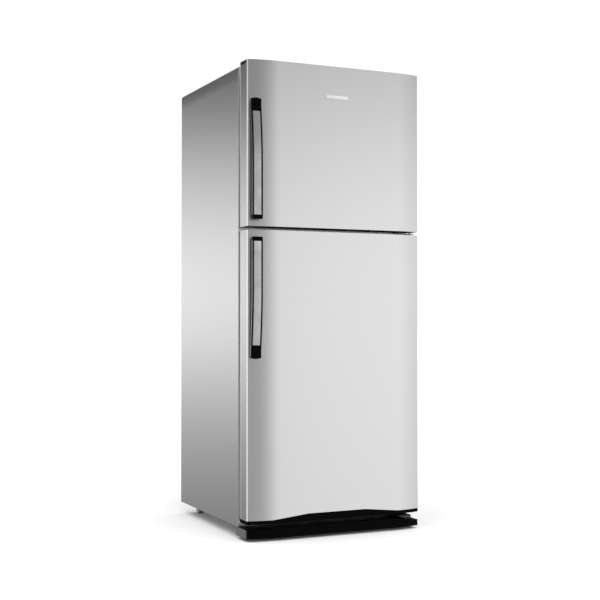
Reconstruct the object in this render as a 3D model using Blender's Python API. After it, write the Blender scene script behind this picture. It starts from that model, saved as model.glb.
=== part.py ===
"""Top freezer refrigerator: a bowed two-door cabinet with its doors, handles, shelves and cold circuit.

World frame, in metres: +X to the viewer's right, +Y to the back, +Z up, the floor at Z = 0.
Each piece that touches another keeps GAP to it, and each named size below is written once.
"""
import math

import bmesh
import bpy
from mathutils import Matrix, Vector

# ---------------------------------------------------------------- driving dimensions
GAP = 0.0003                  # air between pieces that touch
WIDTH = 0.673                 # cabinet and doors, side to side
CABINET_DEPTH = 0.609         # front flange to the back
DOOR_TOP = 1.650              # top edge of the upper door
CABINET_TOP = 1.640
CABINET_BOTTOM = 0.041        # lower edge of the side panels
SPLIT_HEIGHT = 1.07125        # middle of the gap between the doors
DOOR_GAP = 0.0125             # gap between the two doors
FRIDGE_DOOR_BOTTOM = 0.060
PLINTH_BOTTOM = 0.005
PLINTH_TOP = 0.043

SHEET = 0.001                 # steel sheet
SKIN = 0.002                  # liners
WALL = 0.0022                 # moulded drawers and bins

BOW_DEPTH = 0.017             # how far the middle of a door stands in front of its edges
BOW_RUN = 0.115               # width at each side over which the front curves back
CORNER_RADIUS = 0.005         # upright corners of the doors
CASE_RADIUS = 0.006           # upper corners of the cabinet
DOOR_SIDE = 0.0635            # depth of a door's side, corner to back
SHEET_SIDE = 0.058            # depth of the steel's side returns
SEAL_SPACE = 0.0145           # door back to cabinet front, filled by the gasket
CAP_HEIGHT = 0.012            # end caps of the doors
ARCH_RISE = 0.0141            # rise of the steel's lower edge at the middle
ARCH_FLAT = 0.110             # half width of the arch's flat top
ARCH_FOOT = 0.245             # half width of the arch at its foot

FREEZER_WALL = 0.055          # insulation beside the freezer
FRIDGE_WALL = 0.045           # insulation beside the fresh food room
TOP_WALL = 0.055
BACK_WALL = 0.055
FLOOR_WALL = 0.064
PARTITION = 0.076             # insulation between the two rooms
NOTCH_DEPTH = 0.195           # compressor room at the lower back
NOTCH_TOP = 0.270             # height of its ceiling
NOTCH_WALL = 0.045

GASKET_INSET = 0.006          # gasket's inner edge outside the room's edge
GASKET_WIDTH = 0.018
DIKE_CLEARANCE = 0.0085       # room wall to the raised rim of the door liner
DIKE_REACH = 0.045            # how far that rim stands into the room
DIKE_WIDTH = 0.022
BIN_REACH = 0.092             # how far a door bin stands into the room

HANDLE_LENGTH = 0.415
HANDLE_BLOCK = 0.0455         # solid end of a handle
HANDLE_TIP = 0.014            # plain tip at its other end
HANDLE_WIDTH = 0.0385
HANDLE_LEFT = 0.005           # left edge of a handle to the door's edge
HANDLE_BLOCK_REACH = 0.025    # front of the block ahead of the door's corners
HANDLE_BAR_REACH = 0.039      # front of the bar ahead of the door's corners
HANDLE_PLATE = 0.007          # thickness of the bar
HANDLE_RIM = 0.0052           # black rim beside the insert
UPPER_HANDLE_TOP = 1.515
LOWER_HANDLE_TOP = 1.0395

HINGE_INSET = 0.014           # hinge axis to the door's side
HINGE_SETBACK = 0.030         # hinge axis to the door's back
PIN_RADIUS = 0.004
BORE_RADIUS = 0.0046
PIN_DEPTH = 0.008             # how far a pin stands into a cap
HINGE_PLATE = 0.003

SHELF_FRONT = 0.118           # shelf fronts behind the cabinet's front
SHELF = 0.005                 # glass shelves
UPPER_SHELF_Z = 0.790
LOWER_SHELF_Z = 0.565
CRISPER_SHELF_Z = 0.345
FREEZER_SHELF_Z = 1.345
DRAWER_TRAVEL = 0.045         # free travel of a drawer behind a closed door
COIL_SPACE = 0.075            # evaporator room behind the freezer's back cover

FOOT_RADIUS = 0.018
FOOT_TRAVEL = 0.012
ROLLER_RADIUS = 0.016
AXLE_RADIUS = 0.004
RUNNING = 0.0005              # radial clearance of turning parts

# ---------------------------------------------------------------- places that follow
HALF = WIDTH / 2
DOOR_DEPTH = DOOR_SIDE + SEAL_SPACE
EDGE_Y = -(DOOR_DEPTH + CABINET_DEPTH - HANDLE_BAR_REACH) / 2   # front corners of the doors
DOOR_BACK = EDGE_Y + DOOR_SIDE
FRONT = EDGE_Y + DOOR_DEPTH                                     # front of the cabinet
REAR = FRONT + CABINET_DEPTH
FREEZER_DOOR_BOTTOM = SPLIT_HEIGHT + DOOR_GAP / 2
FRIDGE_DOOR_TOP = SPLIT_HEIGHT - DOOR_GAP / 2
STEEL_BOTTOM = FRIDGE_DOOR_BOTTOM + CAP_HEIGHT + GAP

FREEZER_X = HALF - FREEZER_WALL
FREEZER_LOW = SPLIT_HEIGHT + PARTITION / 2
FREEZER_HIGH = CABINET_TOP - TOP_WALL
FRIDGE_X = HALF - FRIDGE_WALL
FRIDGE_LOW = CABINET_BOTTOM + FLOOR_WALL
FRIDGE_HIGH = SPLIT_HEIGHT - PARTITION / 2
ROOM_BACK = REAR - BACK_WALL
STEP_Y = REAR - NOTCH_DEPTH - NOTCH_WALL
STEP_Z = NOTCH_TOP + NOTCH_WALL
COVER_Y = ROOM_BACK - COIL_SPACE
SHELF_Y = FRONT + SHELF_FRONT
HINGE_X = HALF - HINGE_INSET
HINGE_Y = DOOR_BACK - HINGE_SETBACK
FAN_Z = FREEZER_LOW + 0.380


# ---------------------------------------------------------------- helpers
def clear_scene():
    """Remove every object that the file opened with."""
    for thing in list(bpy.data.objects):
        bpy.data.objects.remove(thing, do_unlink=True)


def finish(color, roughness, metallic=0.0, alpha=1.0):
    """A Principled material, shared by the pieces that have the same finish."""
    name = "finish_%02d_%02d_%02d_%02d" % tuple(int(99 * v) for v in (*color[:2], roughness, alpha))
    if name in bpy.data.materials:
        return bpy.data.materials[name]
    result = bpy.data.materials.new(name)
    result.use_nodes = True
    shader = result.node_tree.nodes["Principled BSDF"]
    shader.inputs["Base Color"].default_value = (*color, 1.0)
    shader.inputs["Roughness"].default_value = roughness
    shader.inputs["Metallic"].default_value = metallic
    shader.inputs["Alpha"].default_value = alpha
    return result


STEEL = ((0.62, 0.62, 0.63), 0.30, 0.9)
GREY_PAINT = ((0.55, 0.56, 0.57), 0.40)
BLACK = ((0.015, 0.015, 0.017), 0.35)
WHITE = ((0.86, 0.87, 0.87), 0.40)
CLEAR = ((0.85, 0.90, 0.92), 0.10, 0.0, 0.35)
ZINC = ((0.45, 0.46, 0.47), 0.45, 0.9)
RUBBER = ((0.35, 0.35, 0.36), 0.80)
FOAM = ((0.85, 0.75, 0.45), 0.90)


def add(name, shape, look):
    """Put a bmesh into the scene as a named object with its material."""
    bmesh.ops.recalc_face_normals(shape, faces=shape.faces)
    mesh = bpy.data.meshes.new(name)
    shape.to_mesh(mesh)
    shape.free()
    piece = bpy.data.objects.new(name, mesh)
    bpy.context.collection.objects.link(piece)
    if look:
        mesh.materials.append(finish(*look))
    return piece


def box(name, low, high, look=None):
    """A block between two corners."""
    shape = bmesh.new()
    bmesh.ops.create_cube(shape, size=1.0)
    size = Vector(high) - Vector(low)
    middle = (Vector(high) + Vector(low)) / 2
    bmesh.ops.transform(shape, matrix=Matrix.Translation(middle) @ Matrix.Diagonal((*size, 1.0)),
                        verts=shape.verts)
    return add(name, shape, look)


AXES = {"X": ((0, 1, 0), (0, 0, 1), (1, 0, 0)),
        "Y": ((1, 0, 0), (0, 0, 1), (0, 1, 0)),
        "Z": ((1, 0, 0), (0, 1, 0), (0, 0, 1))}


def prism(name, outline, axis, low, high, look=None):
    """A closed outline, drawn in the plane across an axis, pulled from low to high along it."""
    across, up, along = (Vector(v) for v in AXES[axis])
    shape = bmesh.new()
    ring = [shape.verts.new(across * a + up * b + along * low) for a, b in outline]
    face = shape.faces.new(ring)
    pulled = bmesh.ops.extrude_face_region(shape, geom=[face])
    moved = [item for item in pulled["geom"] if isinstance(item, bmesh.types.BMVert)]
    bmesh.ops.translate(shape, verts=moved, vec=along * (high - low))
    return add(name, shape, look)


def rod(name, centre, axis, length, radius, look=None, sides=16, tip=None):
    """A round bar from its centre along an axis, with another radius at its far end if given."""
    turn = {"X": Matrix.Rotation(math.pi / 2, 4, "Y"), "Y": Matrix.Rotation(-math.pi / 2, 4, "X"),
            "Z": Matrix.Identity(4)}[axis]
    shape = bmesh.new()
    bmesh.ops.create_cone(shape, cap_ends=True, segments=sides, radius1=radius,
                          radius2=radius if tip is None else tip, depth=length,
                          matrix=Matrix.Translation(Vector(centre)) @ turn)
    return add(name, shape, look)


def combine(target, tools, operation):
    """Apply an exact Boolean with each tool in turn, and remove the tools."""
    for tool in tools:
        step = target.modifiers.new(operation, "BOOLEAN")
        step.operation = operation
        step.solver = "EXACT"
        step.object = tool
        view = bpy.context.evaluated_depsgraph_get()
        mesh = bpy.data.meshes.new_from_object(target.evaluated_get(view))
        target.modifiers.clear()
        target.data = mesh
        bpy.data.objects.remove(tool, do_unlink=True)
    return target


def cut(target, *tools):
    """Take tools away from a piece."""
    return combine(target, tools, "DIFFERENCE")


def join(target, *tools):
    """Weld tools to a piece."""
    return combine(target, tools, "UNION")


def smooth(piece, degrees=35):
    """Shade a round piece smooth, with its sharp edges kept."""
    piece.data.shade_smooth()
    piece.data.set_sharp_from_angle(angle=math.radians(degrees))
    return piece


def rounded(corners, steps=4):
    """An outline whose corners (a, b, radius) are rounded with short arcs."""
    points = []
    for index, (a, b, radius) in enumerate(corners):
        if radius <= 0:
            points.append((a, b))
            continue
        here = Vector((a, b))
        before = (Vector(corners[index - 1][:2]) - here).normalized()
        after = (Vector(corners[(index + 1) % len(corners)][:2]) - here).normalized()
        half_angle = before.angle(after) / 2
        centre = here + (before + after).normalized() * radius / math.sin(half_angle)
        start = here + before * radius / math.tan(half_angle) - centre
        end = here + after * radius / math.tan(half_angle) - centre
        for step in range(steps + 1):
            arm = start.lerp(end, step / steps).normalized() * radius
            points.append(tuple(centre + arm))
    return points


def tray(name, low, high, wall, look, front_drop=0.0, back_drop=0.0):
    """An open box with walls; its front or back wall can be lower than the others."""
    piece = box(name, low, high, look)
    inner_low = (low[0] + wall, low[1] + wall, low[2] + wall)
    inner_high = (high[0] - wall, high[1] - wall, high[2] + wall)
    piece = cut(piece, box("tool", inner_low, inner_high))
    if front_drop:
        piece = cut(piece, box("tool", (low[0] + wall, low[1] - wall, high[2] - front_drop),
                               (high[0] - wall, low[1] + 2 * wall, high[2] + wall)))
    if back_drop:
        piece = cut(piece, box("tool", (low[0] + wall, high[1] - 2 * wall, high[2] - back_drop),
                               (high[0] - wall, high[1] + wall, high[2] + wall)))
    return piece


def ring(name, low, high, width, look=None):
    """A rectangular frame in the XZ plane, with the given width of bar."""
    piece = box(name, low, high, look)
    return cut(piece, box("tool", (low[0] + width, low[1] - width, low[2] + width),
                          (high[0] - width, high[1] + width, high[2] - width)))


# ---------------------------------------------------------------- shared outlines
def front_y(x, inset=0.0):
    """The bowed front of the doors and the plinth: flat in the middle, curving back at the sides."""
    share = max(0.0, (abs(x) - (HALF - BOW_RUN)) / BOW_RUN)
    return EDGE_Y + inset - BOW_DEPTH * (1 - share * share)


def bowed_outline(inset, back):
    """Plan of a door or the plinth, from the left back corner round the front to the right one."""
    side = HALF - inset
    corner = (side, front_y(side, inset), max(CORNER_RADIUS - inset, 0.001))
    curve = [HALF - BOW_RUN * step / 7 for step in range(1, 8)]
    points = [(-side, back, 0), (-corner[0], corner[1], corner[2])]
    points += [(-x, front_y(x, inset), 0) for x in curve]
    points += [(x, front_y(x, inset), 0) for x in reversed(curve)]
    points += [corner, (side, back, 0)]
    return rounded(points)


def capped_outline(inset):
    """Plan of an end cap: inside the steel in front, flush with its side behind the corner."""
    inner = bowed_outline(inset, DOOR_BACK - SKIN)[1:-1]
    notch = EDGE_Y + CORNER_RADIUS * 2
    left = [(-HALF, DOOR_BACK - SKIN - GAP), (-HALF, notch), (-(HALF - inset), notch)]
    right = [((HALF - inset), notch), (HALF, notch), (HALF, DOOR_BACK - SKIN - GAP)]
    return left + inner + right


def arch_outline(lift, above):
    """The lower edge of the steel on the lower door: a low flat arch, closed off far above."""
    foot = STEEL_BOTTOM + lift
    top = foot + ARCH_RISE
    blend = 0.060
    return rounded([(-HALF * 2, foot, 0), (-ARCH_FOOT, foot, blend), (-ARCH_FLAT, top, blend),
                    (ARCH_FLAT, top, blend), (ARCH_FOOT, foot, blend), (HALF * 2, foot, 0),
                    (HALF * 2, above, 0), (-HALF * 2, above, 0)], 3)


# ---------------------------------------------------------------- cabinet
def outer_case():
    """Folded steel wrap: two sides, the top, and the front flange with its two windows."""
    def arch(inset, bottom):
        side, top = HALF - inset, CABINET_TOP - inset
        radius = CASE_RADIUS - inset
        return rounded([(-side, bottom, 0), (side, bottom, 0), (side, top, radius), (-side, top, radius)])
    case = prism("outer_case", arch(0, CABINET_BOTTOM), "Y", FRONT, REAR, STEEL)
    hollow = prism("tool", arch(SHEET, CABINET_BOTTOM - SHEET), "Y", FRONT + SHEET, REAR + SHEET)
    freezer = box("tool", (-FREEZER_X - SKIN, FRONT - SHEET, FREEZER_LOW - SKIN),
                  (FREEZER_X + SKIN, FRONT + 2 * SHEET, FREEZER_HIGH + SKIN))
    fridge = box("tool", (-FRIDGE_X - SKIN, FRONT - SHEET, FRIDGE_LOW - SKIN),
                 (FRIDGE_X + SKIN, FRONT + 2 * SHEET, FRIDGE_HIGH + SKIN))
    return cut(case, hollow, freezer, fridge)


def back_panel():
    """Sheet over the insulation at the back, above the compressor room."""
    side = HALF - SHEET - GAP
    return box("back_panel", (-side, REAR - SHEET, NOTCH_TOP + GAP),
               (side, REAR, CABINET_TOP - SHEET - GAP - CASE_RADIUS), GREY_PAINT)


def room(name, half_width, low, high, back, grow):
    """The block of air of a room, grown on every side but its open front."""
    return box(name, (-half_width - grow, FRONT - SKIN, low - grow),
               (half_width + grow, back + grow, high + grow))


def fridge_step(grow):
    """The rise in the fresh food room's floor over the compressor."""
    return box("tool", (-HALF * 2, STEP_Y + grow, -1.0), (HALF * 2, REAR * 3, STEP_Z - grow))


def foam_insulation():
    """Foam that fills the cabinet, round both rooms and over the compressor room."""
    side = HALF - SHEET - GAP
    outline = rounded([(-side, BASE_TOP + GAP, 0), (side, BASE_TOP + GAP, 0),
                       (side, CABINET_TOP - SHEET - GAP, CASE_RADIUS),
                       (-side, CABINET_TOP - SHEET - GAP, CASE_RADIUS)], 2)
    foam = prism("foam_insulation", outline, "Y", FRONT + SHEET + GAP, REAR - SHEET - GAP, FOAM)
    grow = SKIN + GAP
    fresh = cut(room("tool", FRIDGE_X, FRIDGE_LOW, FRIDGE_HIGH, ROOM_BACK, grow), fridge_step(grow))
    notch = box("tool", (-HALF, REAR - NOTCH_DEPTH, 0), (HALF, REAR + SKIN, NOTCH_TOP))
    return cut(foam, room("tool", FREEZER_X, FREEZER_LOW, FREEZER_HIGH, ROOM_BACK, grow), fresh, notch)


def rib(half_width, side, height, reach, front, back, thick=0.006):
    """A ledge on a side wall, on which a shelf stands."""
    inner = half_width - reach
    outer = half_width + SKIN / 2
    low_x, high_x = (inner, outer) if side > 0 else (-outer, -inner)
    return box("tool", (low_x, front, height - thick), (high_x, back, height))


LEDGE = 0.009


def freezer_liner():
    """Moulded lining of the freezer, with a ledge on each side for its shelf."""
    liner = room("freezer_liner", FREEZER_X, FREEZER_LOW, FREEZER_HIGH, ROOM_BACK, SKIN)
    liner.data.materials.append(finish(*WHITE))
    open_front = box("tool", (-HALF, FRONT - SKIN * 2, 0), (HALF, FRONT + GAP, DOOR_TOP * 2))
    liner = cut(liner, room("tool", FREEZER_X, FREEZER_LOW, FREEZER_HIGH, ROOM_BACK, 0), open_front)
    ledges = [rib(FREEZER_X, side, FREEZER_SHELF_Z - GAP, LEDGE, SHELF_Y, COVER_Y - 0.010)
              for side in (-1, 1)]
    return join(liner, *ledges)


def fridge_liner():
    """Moulded lining of the fresh food room, with its step and the ledges of three shelves."""
    liner = cut(room("fridge_liner", FRIDGE_X, FRIDGE_LOW, FRIDGE_HIGH, ROOM_BACK, SKIN),
                fridge_step(SKIN))
    liner.data.materials.append(finish(*WHITE))
    air = cut(room("tool", FRIDGE_X, FRIDGE_LOW, FRIDGE_HIGH, ROOM_BACK, 0), fridge_step(0))
    open_front = box("tool", (-HALF, FRONT - SKIN * 2, 0), (HALF, FRONT + GAP, DOOR_TOP * 2))
    liner = cut(liner, air, open_front)
    ledges = [rib(FRIDGE_X, side, height - GAP, LEDGE, SHELF_Y, SHELF_BACK)
              for side in (-1, 1) for height in (UPPER_SHELF_Z, LOWER_SHELF_Z, CRISPER_SHELF_Z)]
    return join(liner, *ledges)


BASE_SHEET = 0.0015
BASE_TOP = CABINET_BOTTOM + BASE_SHEET
FOOT_X = HALF - 0.052
FOOT_Y = FRONT + 0.062
FOOT_BOSS = 0.011
STUD_RADIUS = 0.005
ROLLER_X = HALF - 0.060
ROLLER_Y = REAR - 0.060
ROLLER_WIDTH = 0.020
EAR = 0.003
EAR_CLEARANCE = 0.001


def base_plate():
    """Steel floor of the cabinet, with the bosses of the feet and the forks of the rollers."""
    side = HALF - SHEET - GAP
    plate = box("base_plate", (-side, FRONT + SHEET + GAP, CABINET_BOTTOM), (side, REAR - 0.016, BASE_TOP),
                ZINC)
    parts = []
    bores = []
    for turn in (-1, 1):
        boss_top = CABINET_BOTTOM + BASE_SHEET / 2
        boss_low = CABINET_BOTTOM - FOOT_TRAVEL - 0.010
        middle = (boss_top + boss_low) / 2
        parts.append(rod("tool", (turn * FOOT_X, FOOT_Y, middle), "Z", boss_top - boss_low, FOOT_BOSS))
        bores.append(rod("tool", (turn * FOOT_X, FOOT_Y, boss_low), "Z",
                         2 * (CABINET_BOTTOM - 0.0005 - boss_low), STUD_RADIUS + RUNNING))
        for end in (-1, 1):
            inner = ROLLER_WIDTH / 2 + EAR_CLEARANCE
            near, far = sorted((turn * ROLLER_X + end * inner, turn * ROLLER_X + end * (inner + EAR)))
            parts.append(box("tool", (near, ROLLER_Y - 0.010, ROLLER_RADIUS - 0.009),
                             (far, ROLLER_Y + 0.010, boss_top)))
        parts.append(rod("tool", (turn * ROLLER_X, ROLLER_Y, ROLLER_RADIUS), "X",
                         ROLLER_WIDTH + 2 * EAR_CLEARANCE + EAR, AXLE_RADIUS))
    return cut(join(plate, *parts), *bores)


def foot(name, side):
    """Levelling foot: a stud in the base's boss, with a round pad on the floor."""
    pad = rod(name, (side * FOOT_X, FOOT_Y, 0.005), "Z", 0.010, FOOT_RADIUS, BLACK, 24)
    stud_top = CABINET_BOTTOM - 0.003
    stud = rod("tool", (side * FOOT_X, FOOT_Y, stud_top / 2 + 0.002), "Z", stud_top - 0.004, STUD_RADIUS)
    return smooth(join(pad, stud))


def roller(name, side):
    """Rear roller on its axle."""
    wheel = rod(name, (side * ROLLER_X, ROLLER_Y, ROLLER_RADIUS), "X", ROLLER_WIDTH, ROLLER_RADIUS,
                BLACK, 32)
    bore = rod("tool", (side * ROLLER_X, ROLLER_Y, ROLLER_RADIUS), "X", ROLLER_WIDTH * 2,
               AXLE_RADIUS + RUNNING)
    return smooth(cut(wheel, bore))


def plinth():
    """Bowed kick panel below the doors, open at the back, lower where it runs under the cabinet."""
    depth = 0.0985
    wall = 0.003
    outer = prism("plinth", bowed_outline(0, EDGE_Y + depth), "Z", PLINTH_BOTTOM, PLINTH_TOP, BLACK)
    inner = prism("tool", bowed_outline(wall, REAR), "Z", PLINTH_BOTTOM - wall, PLINTH_TOP - wall)
    under = box("tool", (-HALF * 2, FRONT - 0.001, CABINET_BOTTOM - GAP),
                (HALF * 2, REAR, PLINTH_TOP * 2))
    bosses = box("tool", (-HALF + wall, FRONT - 0.001, PLINTH_TOP - wall * 2),
                 (HALF - wall, REAR, PLINTH_TOP * 2))
    return cut(outer, inner, under, bosses)


COMPRESSOR_X = -0.120
COMPRESSOR_Y = REAR - 0.105
COMPRESSOR_RADIUS = 0.062
DRIP_TRAY_Z = 0.216


def compressor():
    """Welded compressor can on its foot plate, with the stub of its suction pipe."""
    foot_plate = box("compressor", (COMPRESSOR_X - 0.085, COMPRESSOR_Y - 0.050, BASE_TOP + GAP),
                     (COMPRESSOR_X + 0.085, COMPRESSOR_Y + 0.050, BASE_TOP + 0.012), BLACK)
    start = BASE_TOP + 0.010
    body = rod("tool", (COMPRESSOR_X, COMPRESSOR_Y, start + 0.055), "Z", 0.110, COMPRESSOR_RADIUS, None, 24)
    dome = rod("tool", (COMPRESSOR_X, COMPRESSOR_Y, start + 0.125), "Z", 0.032, COMPRESSOR_RADIUS, None,
               24, COMPRESSOR_RADIUS * 0.62)
    pipe = rod("tool", (COMPRESSOR_X + COMPRESSOR_RADIUS, COMPRESSOR_Y, start + 0.085), "X", 0.050, 0.005)
    return smooth(join(foot_plate, body, dome, pipe), 50)


def drip_tray():
    """Open pan over the compressor that takes the melt water."""
    return tray("drip_tray", (COMPRESSOR_X - 0.090, COMPRESSOR_Y - 0.070, DRIP_TRAY_Z),
                (COMPRESSOR_X + 0.090, COMPRESSOR_Y + 0.070, DRIP_TRAY_Z + 0.036), WALL, BLACK)


INLET_X = 0.240
INLET_Z = 0.105


def compressor_cover():
    """Louvred plate over the compressor room, set in from the back, with the cord's hole."""
    side = HALF - SHEET - GAP
    cover = box("compressor_cover", (-side, REAR - 0.0155, BASE_TOP + GAP),
                (side, REAR - 0.014, NOTCH_TOP - GAP), ZINC)
    slots = [box("tool", (x - 0.060, REAR - 0.020, z), (x + 0.060, REAR, z + 0.005))
             for x in (-0.200, -0.040, 0.120) for z in (0.095, 0.120, 0.145, 0.170, 0.195)]
    hole = rod("tool", (INLET_X, REAR - 0.015, INLET_Z), "Y", 0.010, 0.011 + GAP, None, 24)
    return cut(cover, *slots, hole)


def cord_inlet():
    """Rubber gland in the cover where the supply cord enters."""
    collar = rod("cord_inlet", (INLET_X, REAR - 0.0145, INLET_Z), "Y", 0.022, 0.011, RUBBER, 24)
    bore = rod("tool", (INLET_X, REAR - 0.0145, INLET_Z), "Y", 0.040, 0.004)
    return smooth(cut(collar, bore))


# ---------------------------------------------------------------- cold circuit
def evaporator():
    """Finned coil block at the freezer's back."""
    depth_low, depth_high = COVER_Y + 0.012, ROOM_BACK - 0.010
    low, high = FREEZER_LOW + 0.030, FREEZER_LOW + 0.270
    spine = 0.012
    fins = 11
    half = 0.200
    pitch = 2 * half / (fins - 1)
    outline = [(-half - 0.003, low)]
    outline += [(half + 0.003, low), (half + 0.003, high)]
    for index in range(fins - 1):
        right = half - index * pitch - 0.003
        left = right - pitch + 0.006
        outline += [(right, high), (right, low + spine), (left, low + spine), (left, high)]
    outline.append((-half - 0.003, high))
    return prism("evaporator", outline, "Y", depth_low, depth_high, ((0.7, 0.7, 0.72), 0.4, 1.0))


FAN_RADIUS = 0.048
SHAFT_RADIUS = 0.003
MOTOR_FRONT = COVER_Y + 0.042


def evaporator_cover():
    """Inner back wall of the freezer, with the outlet grille above and the return slots below."""
    side = FREEZER_X - GAP
    cover = box("evaporator_cover", (-side, COVER_Y, FREEZER_LOW + GAP),
                (side, COVER_Y + 0.003, FREEZER_HIGH - GAP), WHITE)
    outlet = [box("tool", (-0.060, COVER_Y - 0.001, FAN_Z + 0.014 * row - 0.004),
                  (0.060, COVER_Y + 0.004, FAN_Z + 0.014 * row + 0.004)) for row in range(-3, 4)]
    back = [box("tool", (x - 0.055, COVER_Y - 0.001, FREEZER_LOW + 0.014),
                (x + 0.055, COVER_Y + 0.004, FREEZER_LOW + 0.022)) for x in (-0.14, 0.0, 0.14)]
    return cut(cover, *outlet, *back)


def fan_motor():
    """Motor of the air fan, with its bracket to the back wall and its shaft."""
    can = rod("fan_motor", (0, (MOTOR_FRONT + ROOM_BACK - GAP) / 2, FAN_Z), "Y",
              ROOM_BACK - GAP - MOTOR_FRONT, 0.021, ZINC, 20)
    bracket = box("tool", (-0.060, ROOM_BACK - 0.006, FAN_Z - 0.012), (0.060, ROOM_BACK - GAP, FAN_Z + 0.012))
    shaft = rod("tool", (0, MOTOR_FRONT - 0.006, FAN_Z), "Y", 0.018, SHAFT_RADIUS)
    return smooth(join(can, bracket, shaft))


def fan_blade():
    """Four-bladed fan on the motor's shaft."""
    middle = MOTOR_FRONT - 0.010
    hub = rod("fan_blade", (0, middle, FAN_Z), "Y", 0.014, 0.012, BLACK, 20)
    blades = []
    for quarter in range(4):
        blade = box("tool", (0.004, -0.001, -0.016), (FAN_RADIUS, 0.001, 0.016))
        spot = (Matrix.Translation((0, middle, FAN_Z)) @ Matrix.Rotation(quarter * math.pi / 2, 4, "Y")
                @ Matrix.Rotation(math.radians(24), 4, "X"))
        blade.data.transform(spot)
        blades.append(blade)
    bore = rod("tool", (0, middle + 0.004, FAN_Z), "Y", 0.020, SHAFT_RADIUS + RUNNING)
    return smooth(cut(join(hub, *blades), bore))


# ---------------------------------------------------------------- freezer fittings
def freezer_shelf():
    """Moulded shelf with rows of slots, thicker along its front edge."""
    side = FREEZER_X - GAP * 2
    back = COVER_Y - 0.012
    shelf = box("freezer_shelf", (-side, SHELF_Y, FREEZER_SHELF_Z), (side, back, FREEZER_SHELF_Z + SHELF),
                WHITE)
    lip = box("tool", (-side + 0.012, SHELF_Y, FREEZER_SHELF_Z - 0.010),
              (side - 0.012, SHELF_Y + 0.006, FREEZER_SHELF_Z + SHELF))
    slots = []
    for column in range(8):
        middle = -side + (column + 0.5) * 2 * side / 8
        slots.append(box("tool", (middle - 0.012, SHELF_Y + 0.040, FREEZER_SHELF_Z - SHELF),
                         (middle + 0.012, back - 0.040, FREEZER_SHELF_Z + SHELF * 2)))
    return cut(join(shelf, lip), *slots)


ICE_X = -FREEZER_X + 0.084
ICE_HALF = 0.078
ICE_FRONT = SHELF_Y + 0.004
ICE_BACK = COVER_Y - 0.020
ICE_TOP = FREEZER_SHELF_Z - 0.022
ICE_BOX_TOP = FREEZER_LOW + 0.082
TRAY_HALF = 0.050
TRAY_HEIGHT = 0.030
TRAY_Z = (ICE_TOP + ICE_BOX_TOP) / 2 + 0.004
ICE_WALL = 0.004


def ice_maker_frame():
    """Stand of the twist ice maker: the tray hangs above and the ice box slides in below."""
    stand = box("ice_maker_frame", (ICE_X - ICE_HALF, ICE_FRONT, FREEZER_LOW + GAP),
                (ICE_X + ICE_HALF, ICE_BACK, ICE_TOP), WHITE)
    bay = box("tool", (ICE_X - ICE_HALF + ICE_WALL, ICE_FRONT - 0.01, FREEZER_LOW - 0.01),
              (ICE_X + ICE_HALF - ICE_WALL, ICE_BACK - ICE_WALL, ICE_BOX_TOP + 0.004))
    upper = box("tool", (ICE_X - ICE_HALF + ICE_WALL, ICE_FRONT + ICE_WALL, ICE_BOX_TOP - 0.01),
                (ICE_X + ICE_HALF - ICE_WALL, ICE_BACK - ICE_WALL, ICE_TOP + 0.01))
    bores = [rod("tool", (ICE_X, y, TRAY_Z), "Y", 0.020, 0.006 + RUNNING, None, 20)
             for y in (ICE_FRONT, ICE_BACK)]
    return cut(stand, bay, upper, *bores)


def ice_tray():
    """Ice tray with its cells, its two pivots and the knob that twists it."""
    front, back = ICE_FRONT + ICE_WALL + 0.004, ICE_BACK - ICE_WALL - 0.004
    body = box("ice_tray", (ICE_X - TRAY_HALF, front, TRAY_Z - TRAY_HEIGHT / 2),
               (ICE_X + TRAY_HALF, back, TRAY_Z + TRAY_HEIGHT / 2), ((0.75, 0.82, 0.88), 0.3))
    rows = 6
    pitch = (back - front - 0.012) / rows
    cells = []
    for row in range(rows):
        start = front + 0.006 + row * pitch
        for side in (-1, 1):
            near, far = sorted((ICE_X + side * 0.0015, ICE_X + side * (TRAY_HALF - 0.003)))
            cells.append(box("tool", (near, start + 0.0015, TRAY_Z - TRAY_HEIGHT / 2 + 0.004),
                             (far, start + pitch - 0.0015, TRAY_Z + TRAY_HEIGHT)))
    front_pin = rod("tool", (ICE_X, (front + ICE_FRONT - 0.008) / 2, TRAY_Z), "Y",
                    front - ICE_FRONT + 0.012, 0.006, None, 20)
    back_pin = rod("tool", (ICE_X, back + 0.003, TRAY_Z), "Y", 0.009, 0.006, None, 20)
    knob = rod("tool", (ICE_X, ICE_FRONT - 0.006, TRAY_Z), "Y", 0.010, 0.020, None, 24)
    grip = box("tool", (ICE_X - 0.017, ICE_FRONT - 0.017, TRAY_Z - 0.003),
               (ICE_X + 0.017, ICE_FRONT - 0.008, TRAY_Z + 0.003))
    return cut(join(body, front_pin, back_pin, knob, grip), *cells)


def ice_box():
    """Pull-out box under the ice tray."""
    inner = ICE_HALF - ICE_WALL - 0.0015
    front = FRONT + BIN_REACH + DRAWER_TRAVEL + 0.004
    return tray("ice_box", (ICE_X - inner, front, FREEZER_LOW + GAP),
                (ICE_X + inner, ICE_BACK - ICE_WALL - 0.006, ICE_BOX_TOP), WALL,
                ((0.80, 0.86, 0.90), 0.2), 0.018)


# ---------------------------------------------------------------- fresh food fittings
DUCT = 0.025
SHELF_BACK = ROOM_BACK - DUCT - 0.006
DUCT_LOW = 0.400


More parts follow.
